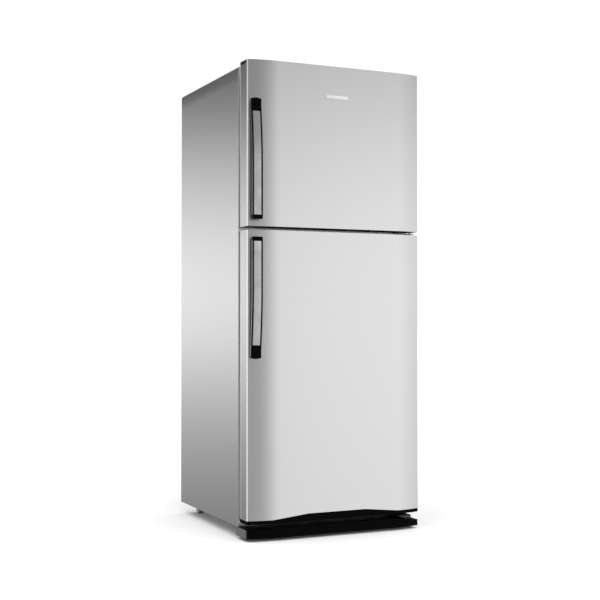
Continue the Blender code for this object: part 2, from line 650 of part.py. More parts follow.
def fridge_duct():
    """Air duct on the back wall, open behind, with a slot over each shelf."""
    high = FRIDGE_HIGH - 0.004
    duct = box("fridge_duct", (-0.100, ROOM_BACK - DUCT, DUCT_LOW), (0.100, ROOM_BACK - GAP, high), WHITE)
    hollow = box("tool", (-0.094, ROOM_BACK - DUCT + 0.003, DUCT_LOW + 0.006),
                 (0.094, ROOM_BACK + 0.01, high - 0.006))
    slots = [box("tool", (side * 0.050 - 0.030, ROOM_BACK - DUCT - 0.01, height),
                 (side * 0.050 + 0.030, ROOM_BACK - DUCT + 0.01, height + 0.008))
             for side in (-1, 1) for height in (0.500, 0.700, 0.900)]
    return cut(duct, hollow, *slots)


CONTROL_FRONT = FRONT + 0.150
CONTROL_LOW = FRIDGE_HIGH - 0.046
KNOB_X = -0.080
KNOB_Z = CONTROL_LOW + 0.023


def control_box():
    """Housing of the thermostat and the lamp under the ceiling."""
    housing = box("control_box", (-0.150, CONTROL_FRONT, CONTROL_LOW),
                  (0.150, CONTROL_FRONT + 0.120, FRIDGE_HIGH - GAP), WHITE)
    shaft_hole = rod("tool", (KNOB_X, CONTROL_FRONT, KNOB_Z), "Y", 0.024, 0.004 + RUNNING)
    lamp_pocket = box("tool", (0.010, CONTROL_FRONT - 0.010, CONTROL_LOW - 0.010),
                      (0.130, CONTROL_FRONT + 0.090, CONTROL_LOW + 0.034))
    return cut(housing, shaft_hole, lamp_pocket)


def temperature_knob():
    """Dial on the front of the control box, with its shaft and its pointer rib."""
    dial = rod("temperature_knob", (KNOB_X, CONTROL_FRONT - 0.007, KNOB_Z), "Y", 0.013, 0.018,
               ((0.75, 0.76, 0.77), 0.35), 28)
    shaft = rod("tool", (KNOB_X, CONTROL_FRONT, KNOB_Z), "Y", 0.018, 0.004)
    pointer = box("tool", (KNOB_X - 0.002, CONTROL_FRONT - 0.017, KNOB_Z - 0.016),
                  (KNOB_X + 0.002, CONTROL_FRONT - 0.010, KNOB_Z + 0.016))
    return smooth(join(dial, shaft, pointer))


def lamp_cover():
    """Clear cover over the lamp, open inside."""
    outline = rounded([(CONTROL_FRONT + 0.002, CONTROL_LOW + 0.033, 0),
                       (CONTROL_FRONT + 0.002, CONTROL_LOW + 0.002, 0.010),
                       (CONTROL_FRONT + 0.088, CONTROL_LOW + 0.002, 0.010),
                       (CONTROL_FRONT + 0.088, CONTROL_LOW + 0.033, 0)], 3)
    shell = prism("lamp_cover", outline, "X", 0.012, 0.128, CLEAR)
    return cut(shell, box("tool", (0.014, CONTROL_FRONT + 0.004, CONTROL_LOW + 0.004),
                          (0.126, CONTROL_FRONT + 0.086, CONTROL_LOW + 0.060)))


def glass_shelf(name, height, back):
    """Glass shelf with a deeper rail along its front and back edges."""
    side = FRIDGE_X - GAP * 2
    plate = box(name, (-side, SHELF_Y, height), (side, back, height + SHELF), CLEAR)
    rails = [box("tool", (-side + 0.012, y, height - 0.012),
                 (side - 0.012, y + 0.012, height + SHELF + 0.003))
             for y in (SHELF_Y, back - 0.012)]
    return join(plate, *rails)


def sliding_front():
    """Front face of the sliding trays, set back by their free travel."""
    return FRONT + BIN_REACH + DRAWER_TRAVEL + 0.004


def chiller_tray():
    """Shallow tray that slides on the upper shelf."""
    height = UPPER_SHELF_Z + SHELF + 0.003 + GAP
    piece = tray("chiller_tray", (-FRIDGE_X + 0.016, sliding_front(), height),
                 (FRIDGE_X - 0.016, SHELF_BACK - 0.020, height + 0.110), WALL, ((0.82, 0.88, 0.92), 0.15),
                 0.020)
    return piece


def crisper_drawer():
    """Deep drawer under the lowest shelf, in front of the step."""
    height = FRIDGE_LOW + GAP
    grip_reach = 0.008
    front = sliding_front() + grip_reach
    piece = tray("crisper_drawer", (-FRIDGE_X + 0.010, front, height),
                 (FRIDGE_X - 0.010, STEP_Y - 0.008, CRISPER_SHELF_Z - 0.030), WALL,
                 ((0.82, 0.88, 0.92), 0.15))
    grip = box("tool", (-0.080, front - grip_reach, CRISPER_SHELF_Z - 0.048),
               (0.080, front + WALL / 2, CRISPER_SHELF_Z - 0.030))
    return join(piece, grip)


SLIDER_TRAVEL = 0.030
SLIDER_CAP = 0.030
SLIDER_X = 0.120
SLIDER_HALF = (SLIDER_TRAVEL + SLIDER_CAP) / 2   # half length of its slot


def crisper_cover():
    """Lowest shelf, which covers the crisper, with the track of the humidity slider."""
    cover = glass_shelf("crisper_cover", CRISPER_SHELF_Z, ROOM_BACK - 0.006)
    bar = box("tool", (SLIDER_X - 0.060, SHELF_Y, CRISPER_SHELF_Z - 0.012),
              (SLIDER_X + 0.060, SHELF_Y + 0.012, CRISPER_SHELF_Z + 0.016))
    slot = box("tool", (SLIDER_X - SLIDER_HALF, SHELF_Y - 0.010, CRISPER_SHELF_Z + 0.002),
               (SLIDER_X + SLIDER_HALF, SHELF_Y + 0.005, CRISPER_SHELF_Z + 0.010))
    return cut(join(cover, bar), slot)


def humidity_slider():
    """Small slider in the crisper cover's front rail."""
    start = SLIDER_X - SLIDER_HALF + GAP
    stem = box("humidity_slider", (start + 0.006, SHELF_Y - 0.004, CRISPER_SHELF_Z + 0.0025),
               (start + SLIDER_CAP - 0.006, SHELF_Y + 0.0045, CRISPER_SHELF_Z + 0.0095),
               ((0.3, 0.5, 0.6), 0.4))
    cap = box("tool", (start, SHELF_Y - 0.007, CRISPER_SHELF_Z),
              (start + SLIDER_CAP, SHELF_Y - 0.0006, CRISPER_SHELF_Z + 0.012))
    return join(stem, cap)


# ---------------------------------------------------------------- hinges
def pin(low, high):
    """Hinge pin on the doors' axis."""
    return rod("tool", (HINGE_X, HINGE_Y, (low + high) / 2), "Z", high - low, PIN_RADIUS)


def pin_bore(low, high):
    """Hole for a hinge pin."""
    return rod("tool", (HINGE_X, HINGE_Y, (low + high) / 2), "Z", high - low, BORE_RADIUS)


HINGE_REACH = 0.012           # hinge plates in front of the pin
HINGE_WIDTH = 0.040           # top hinge beside the pin
HINGE_FOOT = 0.085            # its foot on the cabinet's top


def top_hinge():
    """Cranked plate screwed to the cabinet's top, reaching over the upper door."""
    low, high = CABINET_TOP + GAP, DOOR_TOP + GAP * 2
    left, right = HINGE_X - HINGE_WIDTH, HINGE_X + 0.006
    bend = FRONT + 0.004
    base = box("top_hinge", (left, bend, low), (right, FRONT + HINGE_FOOT, low + HINGE_PLATE), ZINC)
    riser = box("tool", (left, bend, low), (right, bend + HINGE_PLATE, high + HINGE_PLATE))
    arm = box("tool", (left, HINGE_Y - HINGE_REACH, high), (right, bend + HINGE_PLATE, high + HINGE_PLATE))
    return join(base, riser, arm, pin(DOOR_TOP - PIN_DEPTH, high + HINGE_PLATE / 2))


def top_hinge_cover():
    """Moulded cap over the top hinge."""
    wall = 0.002
    low = CABINET_TOP + GAP
    high = DOOR_TOP + 0.0065
    left, right = HINGE_X - HINGE_WIDTH - wall - 0.002, HALF - 0.004
    front, back = HINGE_Y - HINGE_REACH - wall - 0.001, FRONT + HINGE_FOOT + wall + 0.002
    cover = box("top_hinge_cover", (left, front, low), (right, back, high), GREY_PAINT)
    inside = box("tool", (left + wall, front + wall, low - wall), (right - wall, back - wall, high - wall))
    over_door = box("tool", (left - wall, front - wall, low - wall),
                    (right + wall, FRONT + 0.002, DOOR_TOP + GAP * 2))
    return cut(cover, inside, over_door)


def middle_hinge():
    """Bracket on the partition with a pin up into one door and down into the other."""
    leaf_half = 0.010
    leaf = box("middle_hinge", (HINGE_X - 0.045, FRONT - GAP - HINGE_PLATE, SPLIT_HEIGHT - leaf_half),
               (HINGE_X + 0.010, FRONT - GAP, SPLIT_HEIGHT + leaf_half), ZINC)
    arm = box("tool", (HINGE_X - 0.018, HINGE_Y - HINGE_REACH, SPLIT_HEIGHT - HINGE_PLATE / 2),
              (HINGE_X + 0.010, FRONT - GAP - HINGE_PLATE / 2, SPLIT_HEIGHT + HINGE_PLATE / 2))
    return join(leaf, arm, pin(FRIDGE_DOOR_TOP - PIN_DEPTH, FREEZER_DOOR_BOTTOM + PIN_DEPTH))


def bottom_hinge():
    """Bracket under the cabinet's front rail with a pin up into the lower door."""
    high = FRIDGE_DOOR_BOTTOM - 0.003
    low = high - HINGE_PLATE
    leaf = box("bottom_hinge", (HINGE_X - 0.070, FRONT - GAP - HINGE_PLATE, PLINTH_TOP + 0.002),
               (HINGE_X + 0.010, FRONT - GAP, FRIDGE_DOOR_BOTTOM + 0.006), ZINC)
    arm = box("tool", (HINGE_X - 0.070, HINGE_Y - HINGE_REACH, low),
              (HINGE_X + 0.010, FRONT - GAP - HINGE_PLATE / 2, high))
    return join(leaf, arm, pin(low + HINGE_PLATE / 2, FRIDGE_DOOR_BOTTOM + PIN_DEPTH))


# ---------------------------------------------------------------- doors
def door_panel(name, low, high):
    """Bowed steel skin of a door with its side returns."""
    outer = bowed_outline(0, EDGE_Y + SHEET_SIDE)
    inner = bowed_outline(SHEET, EDGE_Y + SHEET_SIDE)
    return prism(name, outer + inner[::-1], "Z", low, high, STEEL)


def door_cap(name, low, high, flush_sides):
    """Moulded end cap inside the steel; its sides come out flush where the steel is cut back."""
    if flush_sides:
        outline = capped_outline(SHEET + GAP)
    else:
        outline = bowed_outline(SHEET + GAP, DOOR_BACK - SKIN - GAP)
    return prism(name, outline, "Z", low, high, BLACK)


def arched_cap(name):
    """Lower end cap of the lower door, which shows below the arched edge of the steel."""
    high = STEEL_BOTTOM + ARCH_RISE
    cap = prism(name, bowed_outline(0, DOOR_BACK - SKIN - GAP), "Z", FRIDGE_DOOR_BOTTOM, high, BLACK)
    above = prism("tool", arch_outline(-GAP, DOOR_TOP), "Y", EDGE_Y - 0.1, REAR)
    return cut(cap, above)


def door_foam(name, low, high, rim):
    """Foam core of a door, with the foam inside the liner's raised rim."""
    core = prism(name, bowed_outline(SHEET + GAP, DOOR_BACK - SKIN - GAP), "Z", low, high, FOAM)
    return join(core, rim_block(rim, SKIN + GAP, DOOR_BACK - SKIN * 2))


def rim_block(rim, shrink, start):
    """The raised rim of a door liner as a solid frame, thinner by shrink all round."""
    half, low, high = rim
    end = FRONT + DIKE_REACH - shrink
    block = box("tool", (-half + shrink, start, low + shrink), (half - shrink, end, high - shrink))
    width = DIKE_WIDTH - 2 * shrink
    return cut(block, box("tool", (-half + shrink + width, start - 0.01, low + shrink + width),
                          (half - shrink - width, end + 0.01, high - shrink - width)))


def door_liner(name, low, high, rim, ledges):
    """Moulded inner face of a door with its raised rim and the ledges that carry the bins."""
    side = HALF - SHEET - GAP
    liner = box(name, (-side, DOOR_BACK - SKIN, low + SKIN), (side, DOOR_BACK, high - SKIN), WHITE)
    liner = join(liner, rim_block(rim, 0, DOOR_BACK - SKIN / 2))
    liner = cut(liner, rim_block(rim, SKIN, DOOR_BACK - SKIN * 2))
    inner = rim[0] - DIKE_WIDTH
    shelves = []
    for height in ledges:
        for turn in (-1, 1):
            near, far = sorted((turn * (inner - 0.006), turn * (inner + SKIN / 2)))
            shelves.append(box("tool", (near, DOOR_BACK + 0.004, height - 0.006 - GAP),
                               (far, FRONT + DIKE_REACH - 0.004, height - GAP)))
    return join(liner, *shelves)


def gasket(name, half_width, low, high):
    """Magnetic seal between a door and the cabinet's front flange."""
    grow = GASKET_INSET + GASKET_WIDTH
    return ring(name, (-half_width - grow, DOOR_BACK + GAP, low - grow),
                (half_width + grow, FRONT - GAP, high + grow), GASKET_WIDTH, RUBBER)


def door_bin(name, rim, low, high, cabinet_drop=0.0):
    """Bin on a door's ledges, between the sides of the raised rim."""
    side = rim[0] - DIKE_WIDTH - 0.0010
    piece = box(name, (-side, DOOR_BACK + 0.0015, low), (side, FRONT + BIN_REACH, high), CLEAR)
    piece = cut(piece, box("tool", (-side + WALL, DOOR_BACK + 0.0015 + WALL, low + WALL),
                           (side - WALL, FRONT + BIN_REACH - WALL, high + WALL)))
    if cabinet_drop:
        piece = cut(piece, box("tool", (-side - WALL, FRONT + DIKE_REACH, high - cabinet_drop),
                               (side + WALL, FRONT + BIN_REACH + WALL, high + WALL)))
    return piece


LID_PIVOT_Y = DOOR_BACK + 0.012
LID_PIVOT_Z = 0.885
LID_WALL = 0.0025


def dairy_bin(rim):
    """Covered bin at the top of the lower door, with the two lugs of its lid."""
    side = rim[0] - DIKE_WIDTH - 0.0010
    low, high = LID_PIVOT_Z - 0.100, LID_PIVOT_Z - 0.050
    piece = box("dairy_bin", (-side, DOOR_BACK + 0.0015, low), (side, FRONT + BIN_REACH - 0.012, high), CLEAR)
    piece = cut(piece, box("tool", (-side + WALL, DOOR_BACK + 0.0015 + WALL, low + WALL),
                           (side - WALL, FRONT + BIN_REACH - 0.012 - WALL, high + WALL)))
    lugs = []
    for turn in (-1, 1):
        near, far = sorted((turn * side, turn * (side - 0.004)))
        lugs.append(box("tool", (near, DOOR_BACK + 0.0015, high - 0.010),
                        (far, LID_PIVOT_Y + 0.008, LID_PIVOT_Z + 0.008)))
    bores = [rod("tool", (turn * side, LID_PIVOT_Y, LID_PIVOT_Z), "X", 0.020, 0.003 + RUNNING)
             for turn in (-1, 1)]
    return cut(join(piece, *lugs), *bores)


def dairy_lid(rim):
    """Curved clear lid that swings up from the dairy bin."""
    side = rim[0] - DIKE_WIDTH - 0.0010 - 0.0050
    reach = FRONT + BIN_REACH - 0.006
    low = LID_PIVOT_Z - 0.048
    top = LID_PIVOT_Z + 0.003
    outer = rounded([(LID_PIVOT_Y - 0.003, top, 0), (reach, top, 0.022), (reach, low, 0)], 5)
    inner = rounded([(LID_PIVOT_Y - 0.003, top - LID_WALL, 0), (reach - LID_WALL, top - LID_WALL, 0.0195),
                     (reach - LID_WALL, low, 0)], 5)
    lid = prism("dairy_lid", outer + inner[::-1], "X", -side, side, CLEAR)
    pivot = rod("tool", (0, LID_PIVOT_Y, LID_PIVOT_Z), "X", 2 * (side + 0.004), 0.003)
    return join(lid, pivot)


# ---------------------------------------------------------------- handles
def bar_reach(share):
    """Front of a handle ahead of the door's corners, from its block (0) to its tip (1)."""
    start = HANDLE_BLOCK / HANDLE_LENGTH
    climb = min(1.0, max(0.0, (share - start * 0.6) / 0.48))
    rise = math.sin(climb * math.pi / 2)
    return HANDLE_BLOCK_REACH + (HANDLE_BAR_REACH - HANDLE_BLOCK_REACH) * rise


def handle_side(top, downward, near, far, start, end, steps=12):
    """Side view of a handle's bar between two shares of its length, near and far behind its front."""
    block_z = top if downward else top - HANDLE_LENGTH
    sign = -1 if downward else 1
    front = []
    back = []
    for step in range(steps + 1):
        share = start + (end - start) * step / steps
        height = block_z + sign * share * HANDLE_LENGTH
        front.append((EDGE_Y - bar_reach(share) + near, height))
        back.append((EDGE_Y - bar_reach(share) + far, height))
    return front + back[::-1]


def handle(name, top, downward):
    """Black handle: a bar that leaves its block, bows out and stands on a leg near its tip."""
    left = -HALF + HANDLE_LEFT
    right = left + HANDLE_WIDTH
    bar = prism(name, handle_side(top, downward, 0, HANDLE_PLATE, 0, 1), "X", left, right, BLACK)
    block_z = top if downward else top - HANDLE_LENGTH
    sign = -1 if downward else 1
    supports = []
    for start, length, inset in ((0.0, HANDLE_BLOCK, 0.006), (HANDLE_LENGTH - 0.046, 0.020, 0.012)):
        first = block_z + sign * start
        second = block_z + sign * (start + length)
        reach = bar_reach((start + length / 2) / HANDLE_LENGTH) - HANDLE_PLATE * 0.7
        supports.append(box("tool", (left + inset, EDGE_Y - reach, min(first, second)),
                            (right - inset, EDGE_Y + 0.010, max(first, second))))
    bar = join(bar, *supports)
    door = prism("tool", bowed_outline(-GAP, DOOR_BACK), "Z", top - HANDLE_LENGTH * 2, top + HANDLE_LENGTH)
    start, end = HANDLE_BLOCK / HANDLE_LENGTH, 1 - HANDLE_TIP / HANDLE_LENGTH
    recess = prism("tool", handle_side(top, downward, -0.004, INSERT_DEPTH + GAP, start, end),
                   "X", left + HANDLE_RIM, right - HANDLE_RIM)
    return cut(bar, door, recess)


INSERT_DEPTH = 0.002


def handle_insert(name, top, downward):
    """Brushed strip let into the front of a handle."""
    left = -HALF + HANDLE_LEFT + HANDLE_RIM + GAP
    right = -HALF + HANDLE_LEFT + HANDLE_WIDTH - HANDLE_RIM - GAP
    margin = GAP / HANDLE_LENGTH
    start, end = HANDLE_BLOCK / HANDLE_LENGTH + margin, 1 - HANDLE_TIP / HANDLE_LENGTH - margin
    return prism(name, handle_side(top, downward, 0, INSERT_DEPTH, start, end), "X", left, right, STEEL)


def badge():
    """Plain blank bar on the upper door."""
    return box("badge", (-0.0435, EDGE_Y - BOW_DEPTH - 0.0015, 1.536),
               (0.0435, EDGE_Y - BOW_DEPTH - GAP, 1.547), ((0.8, 0.8, 0.8), 0.25, 0.8))


def freezer_door():
    """Upper door and everything on it."""
    low, high = FREEZER_DOOR_BOTTOM, DOOR_TOP
    rim = (FREEZER_X - DIKE_CLEARANCE, FREEZER_LOW + DIKE_CLEARANCE, FREEZER_HIGH - DIKE_CLEARANCE)
    notch = EDGE_Y + CORNER_RADIUS * 2 - GAP
    cut(door_panel("freezer_door_panel", low, high),
        box("tool", (-HALF * 2, notch, high - CAP_HEIGHT - GAP), (HALF * 2, DOOR_BACK, high * 2)))
    cut(door_cap("freezer_door_top_cap", high - CAP_HEIGHT, high, True),
        pin_bore(high - CAP_HEIGHT + 0.002, high + 0.01))
    cut(door_cap("freezer_door_bottom_cap", low, low + CAP_HEIGHT, False),
        pin_bore(low - 0.01, low + CAP_HEIGHT - 0.002))
    door_foam("freezer_door_foam", low + CAP_HEIGHT + GAP, high - CAP_HEIGHT - GAP, rim)
    door_liner("freezer_door_liner", low, high, rim, FREEZER_BINS)
    gasket("freezer_gasket", FREEZER_X, FREEZER_LOW, FREEZER_HIGH)
    door_bin("freezer_upper_bin", rim, FREEZER_BINS[0], FREEZER_BINS[0] + 0.090, 0.025)
    door_bin("freezer_lower_bin", rim, FREEZER_BINS[1], FREEZER_BINS[1] + 0.110, 0.030)
    handle("freezer_handle", UPPER_HANDLE_TOP, True)
    handle_insert("freezer_handle_insert", UPPER_HANDLE_TOP, True)
    badge()


FREEZER_BINS = (1.395, 1.160)
FRIDGE_BINS = (LID_PIVOT_Z - 0.100, 0.520, 0.165)


def fridge_door():
    """Lower door and everything on it."""
    low, high = FRIDGE_DOOR_BOTTOM, FRIDGE_DOOR_TOP
    foam_low = STEEL_BOTTOM + ARCH_RISE + GAP
    rim = (FRIDGE_X - DIKE_CLEARANCE, FRIDGE_LOW + DIKE_CLEARANCE, FRIDGE_HIGH - DIKE_CLEARANCE)
    under_arch = cut(prism("tool", bowed_outline(-SHEET, DOOR_BACK), "Z", 0, STEEL_BOTTOM + ARCH_RISE),
                     prism("tool", arch_outline(0, DOOR_TOP), "Y", EDGE_Y - 0.1, REAR))
    cut(door_panel("fridge_door_panel", STEEL_BOTTOM, high), under_arch)
    cut(door_cap("fridge_door_top_cap", high - CAP_HEIGHT, high, False),
        pin_bore(high - CAP_HEIGHT + 0.002, high + 0.01))
    cut(arched_cap("fridge_door_bottom_cap"), pin_bore(low - 0.01, low + PIN_DEPTH + 0.002))
    door_foam("fridge_door_foam", foam_low, high - CAP_HEIGHT - GAP, rim)
    door_liner("fridge_door_liner", low, high, rim, FRIDGE_BINS)
    gasket("fridge_gasket", FRIDGE_X, FRIDGE_LOW, FRIDGE_HIGH)
    dairy_bin(rim)
    dairy_lid(rim)
    door_bin("middle_bin", rim, FRIDGE_BINS[1], FRIDGE_BINS[1] + 0.100, 0.025)
    door_bin("bottle_bin", rim, FRIDGE_BINS[2], FRIDGE_BINS[2] + 0.150, 0.040)
    handle("fridge_handle", LOWER_HANDLE_TOP, False)
    handle_insert("fridge_handle_insert", LOWER_HANDLE_TOP, False)


def cabinet():
    """The cabinet with its machinery, feet, rollers and hinges."""
    outer_case()
    back_panel()
    foam_insulation()
    freezer_liner()
    fridge_liner()
    base_plate()
    for name, side in (("left", -1), ("right", 1)):
        foot(name + "_foot", side)
        roller(name + "_roller", side)
    plinth()
    compressor()
    drip_tray()
    compressor_cover()
    cord_inlet()
    top_hinge()
    top_hinge_cover()
    middle_hinge()
    bottom_hinge()


def interior():
    """Everything inside the two rooms that belongs to the cabinet."""
    evaporator()
    evaporator_cover()
    fan_motor()
    fan_blade()
    freezer_shelf()
    ice_maker_frame()
    ice_tray()
    ice_box()
    fridge_duct()
    control_box()
    temperature_knob()
    lamp_cover()
    glass_shelf("upper_shelf", UPPER_SHELF_Z, SHELF_BACK)
    glass_shelf("lower_shelf", LOWER_SHELF_Z, SHELF_BACK)
    chiller_tray()
    crisper_cover()
    crisper_drawer()
    humidity_slider()


clear_scene()
cabinet()
interior()
freezer_door()
fridge_door()
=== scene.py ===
"""Looks of the top freezer refrigerator: its detailed pieces, finishes, light and camera.

Lengths are in metres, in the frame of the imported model: +X to the viewer's right, +Y to the back,
+Z up, the floor at Z = 0. The doors face -Y and turn about the pins on their right.
"""

import logging
import math
from dataclasses import dataclass
from enum import Enum
from functools import reduce
from typing import Callable, Iterable, Sequence

import bmesh
import bpy
from mathutils import Matrix, Vector


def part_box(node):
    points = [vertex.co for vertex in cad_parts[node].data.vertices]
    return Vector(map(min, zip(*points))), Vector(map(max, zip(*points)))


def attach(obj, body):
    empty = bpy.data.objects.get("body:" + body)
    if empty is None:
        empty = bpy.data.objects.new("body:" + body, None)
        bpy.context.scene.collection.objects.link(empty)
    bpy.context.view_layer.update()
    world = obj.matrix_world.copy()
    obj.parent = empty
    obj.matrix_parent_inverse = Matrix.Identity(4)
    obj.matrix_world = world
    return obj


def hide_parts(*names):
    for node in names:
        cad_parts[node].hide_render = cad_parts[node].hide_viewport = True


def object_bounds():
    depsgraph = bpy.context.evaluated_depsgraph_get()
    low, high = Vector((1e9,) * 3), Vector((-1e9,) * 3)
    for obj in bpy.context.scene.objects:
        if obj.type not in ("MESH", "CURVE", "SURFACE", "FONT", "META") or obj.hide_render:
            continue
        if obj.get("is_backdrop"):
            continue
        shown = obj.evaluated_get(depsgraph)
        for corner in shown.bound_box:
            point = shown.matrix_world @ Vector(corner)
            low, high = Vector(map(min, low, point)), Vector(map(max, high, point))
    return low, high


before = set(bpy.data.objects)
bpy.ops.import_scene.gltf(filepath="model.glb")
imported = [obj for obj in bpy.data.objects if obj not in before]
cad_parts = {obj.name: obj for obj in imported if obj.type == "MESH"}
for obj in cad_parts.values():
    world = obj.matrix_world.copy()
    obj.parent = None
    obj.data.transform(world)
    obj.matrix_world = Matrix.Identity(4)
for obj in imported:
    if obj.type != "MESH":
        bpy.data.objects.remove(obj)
CAD_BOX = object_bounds()

LOG = logging.getLogger("refrigerator")
AIR = 0.0003                  # air between pieces that touch
TINY = 1e-5                   # tolerance of the tests on places
CUT = 1e-7                    # points nearer to a cut than this lie on it
Point = tuple[float, float, float]
Colour = tuple[float, float, float]
Outline = Sequence[tuple[float, float]]


class Axis(Enum):
    """A world axis, by its place in a vector."""

    X = 0
    Y = 1
    Z = 2

    @property
    def way(self) -> Vector:
        """Unit vector along the axis."""
        return Vector([1.0 if place == self.value else 0.0 for place in range(3)])

    @property
    def turn(self) -> Matrix:
        """Turn that lays the Z axis along this one."""
        return self.way.to_track_quat("Z", "Y").to_matrix().to_4x4()


# ---------------- shader groups
class Wiring:
    """A node tree in the making, with short calls for the nodes that the finishes use."""

    def __init__(self, tree: bpy.types.NodeTree) -> None:
        """Work on one tree."""
        self.tree = tree

    def node(self, kind: str, **values: object) -> bpy.types.Node:
        """Add a node and set its properties.

        Args:
            kind: the node's type name after "ShaderNode".
            values: properties by name.

        Returns:
            The new node.
        """
        made = self.tree.nodes.new("ShaderNode" + kind)
        for name, value in values.items():
            setattr(made, name, value)
        return made

    def feed(self, target: bpy.types.NodeSocket, source: object) -> None:
        """Link a socket to its source, or give it a plain value.

        Args:
            target: the input socket.
            source: another node's output, or a value.
        """
        if isinstance(source, bpy.types.NodeSocket):
            self.tree.links.new(source, target)
        else:
            target.default_value = source

    def put(self, kind: str, sources: dict[int | str, object], output: int = 0,
            **values: object) -> bpy.types.NodeSocket:
        """Add a node, feed its inputs and give one of its outputs.

        Args:
            kind: the node's type name after "ShaderNode".
            sources: value or source of each input that is set.
            output: which output is wanted.
            values: properties by name.

        Returns:
            The output.
        """
        made = self.node(kind, **values)
        for key, source in sources.items():
            self.feed(made.inputs[key], source)
        return made.outputs[output]

    def math(self, operation: str, first: object, second: object = 0.0) -> bpy.types.NodeSocket:
        """Add a Math node on two numbers."""
        return self.put("Math", {0: first, 1: second}, operation=operation)

    def times(self, *factors: object) -> bpy.types.NodeSocket:
        """Multiply numbers."""
        return reduce(lambda first, second: self.math("MULTIPLY", first, second), factors)

    def mix(self, share: object, first: object, second: object) -> bpy.types.NodeSocket:
        """Mix two colours by the share of the second."""
        return self.put("Mix", {0: share, 6: first, 7: second}, 2, data_type="RGBA")

    def ramp(self, source: object, low: float, high: float, to_low: float = 0.0,
             to_high: float = 1.0) -> bpy.types.NodeSocket:
        """Map the range from low to high smoothly to the one from to_low to to_high."""
        places = dict(enumerate((source, low, high, to_low, to_high)))
        return self.put("MapRange", places, interpolation_type="SMOOTHSTEP")

    def noise(self, vector: object, scale: object, detail: float = 2.0) -> bpy.types.NodeSocket:
        """Add a noise, whose scale is its waves to a metre, and which is about 0.5 on average."""
        return self.put("TexNoise", {"Vector": vector, "Scale": scale, "Detail": detail})


class Effect(Enum):
    """The effects that the finishes share, each one a node group."""

    GRAIN = "fine grain"
    MOTTLE = "mottle"
    DUST = "settled dust"
    WEAR = "edge wear"


SOCKETS = {
    Effect.GRAIN: ((("Vector", "Vector"), ("Stretch", "Vector"), ("Depth", "Float")), (("Height", "Float"),)),
    Effect.MOTTLE: ((("Vector", "Vector"), ("Scale", "Float"), ("Amount", "Float"), ("Colour", "Color"),
                     ("Second Colour", "Color")), (("Colour", "Color"), ("Mask", "Float"))),
    Effect.DUST: ((("Vector", "Vector"), ("Amount", "Float"), ("Colour", "Color"), ("Roughness", "Float")),
                  (("Colour", "Color"), ("Roughness", "Float"))),
    Effect.WEAR: ((("Vector", "Vector"), ("Amount", "Float"), ("Colour", "Color"), ("Worn Colour", "Color"),
                   ("Roughness", "Float")), (("Colour", "Color"), ("Roughness", "Float"))),
}


GRAIN_LAYERS = ((1.0, 3.0, 0.7), (0.17, 1.0, 0.3))    # scale, detail and share of each layer
DUST_COLOUR = (0.42, 0.41, 0.39, 1.0)
DUST_ROUGHENS = 0.45
WEAR_SMOOTHS = 0.12
RELIEF_DISTANCE = 0.0004


def effect_group(effect: Effect) -> bpy.types.NodeTree:
    """Give an effect's node group, built the first time it is asked for.

    Args:
        effect: which one.

    Returns:
        The group.
    """
    if effect.value in bpy.data.node_groups:
        return bpy.data.node_groups[effect.value]
    group = bpy.data.node_groups.new(effect.value, "ShaderNodeTree")
    for way, sockets in zip(("INPUT", "OUTPUT"), SOCKETS[effect]):
        for name, kind in sockets:
            group.interface.new_socket(name, in_out=way, socket_type="NodeSocket" + kind)
    wiring = Wiring(group)
    given = group.nodes.new("NodeGroupInput").outputs
    result = group.nodes.new("NodeGroupOutput").inputs
    vector = given["Vector"]
    if effect is Effect.GRAIN:
        stretched = wiring.put("VectorMath", {0: vector, 1: given["Stretch"]}, operation="MULTIPLY")
        layers = [wiring.times(wiring.noise(stretched, scale, detail), share)
                  for scale, detail, share in GRAIN_LAYERS]
        wiring.feed(result["Height"], wiring.times(wiring.math("ADD", *layers), given["Depth"]))
    elif effect is Effect.MOTTLE:
        cloud = wiring.ramp(wiring.noise(vector, given["Scale"], 4.0), 0.3, 0.7)
        wiring.feed(result["Mask"], cloud)
        wiring.feed(result["Colour"], wiring.mix(wiring.times(cloud, given["Amount"]), given["Colour"],
                                                 given["Second Colour"]))
    elif effect is Effect.DUST:
        facing = wiring.put("SeparateXYZ", {0: wiring.node("NewGeometry").outputs["Normal"]}, Axis.Z.value)
        patches = wiring.ramp(wiring.noise(vector, 34.0, 5.0), 0.36, 0.72)
        amount = wiring.times(wiring.ramp(facing, 0.55, 0.98), patches, given["Amount"])
        wiring.feed(result["Colour"], wiring.mix(amount, given["Colour"], DUST_COLOUR))
        wiring.feed(result["Roughness"], wiring.math("ADD", given["Roughness"],
                                                     wiring.times(amount, DUST_ROUGHENS)))
    else:
        edge = wiring.ramp(wiring.node("NewGeometry").outputs["Pointiness"], 0.53, 0.62)
        patches = wiring.ramp(wiring.noise(vector, 55.0, 4.0), 0.35, 0.75)
        amount = wiring.times(edge, patches, given["Amount"])
        wiring.feed(result["Colour"], wiring.mix(amount, given["Colour"], given["Worn Colour"]))
        wiring.feed(result["Roughness"], wiring.math("SUBTRACT", given["Roughness"],
                                                     wiring.times(amount, WEAR_SMOOTHS)))
    return group


class Grain(Enum):
    """Fine relief of a surface: waves to a metre along X, Y and Z."""

    BRUSHED_ACROSS = (45.0, 45.0, 2600.0)
    BRUSHED_UPRIGHT = (2400.0, 2400.0, 30.0)
    PEEL = (420.0, 420.0, 420.0)
    PEBBLED = (900.0, 900.0, 900.0)
    SILKY = (260.0, 260.0, 260.0)
    DRAWN = (30.0, 900.0, 900.0)


def grey(level: float) -> Colour:
    """An even grey."""
    return level, level, level


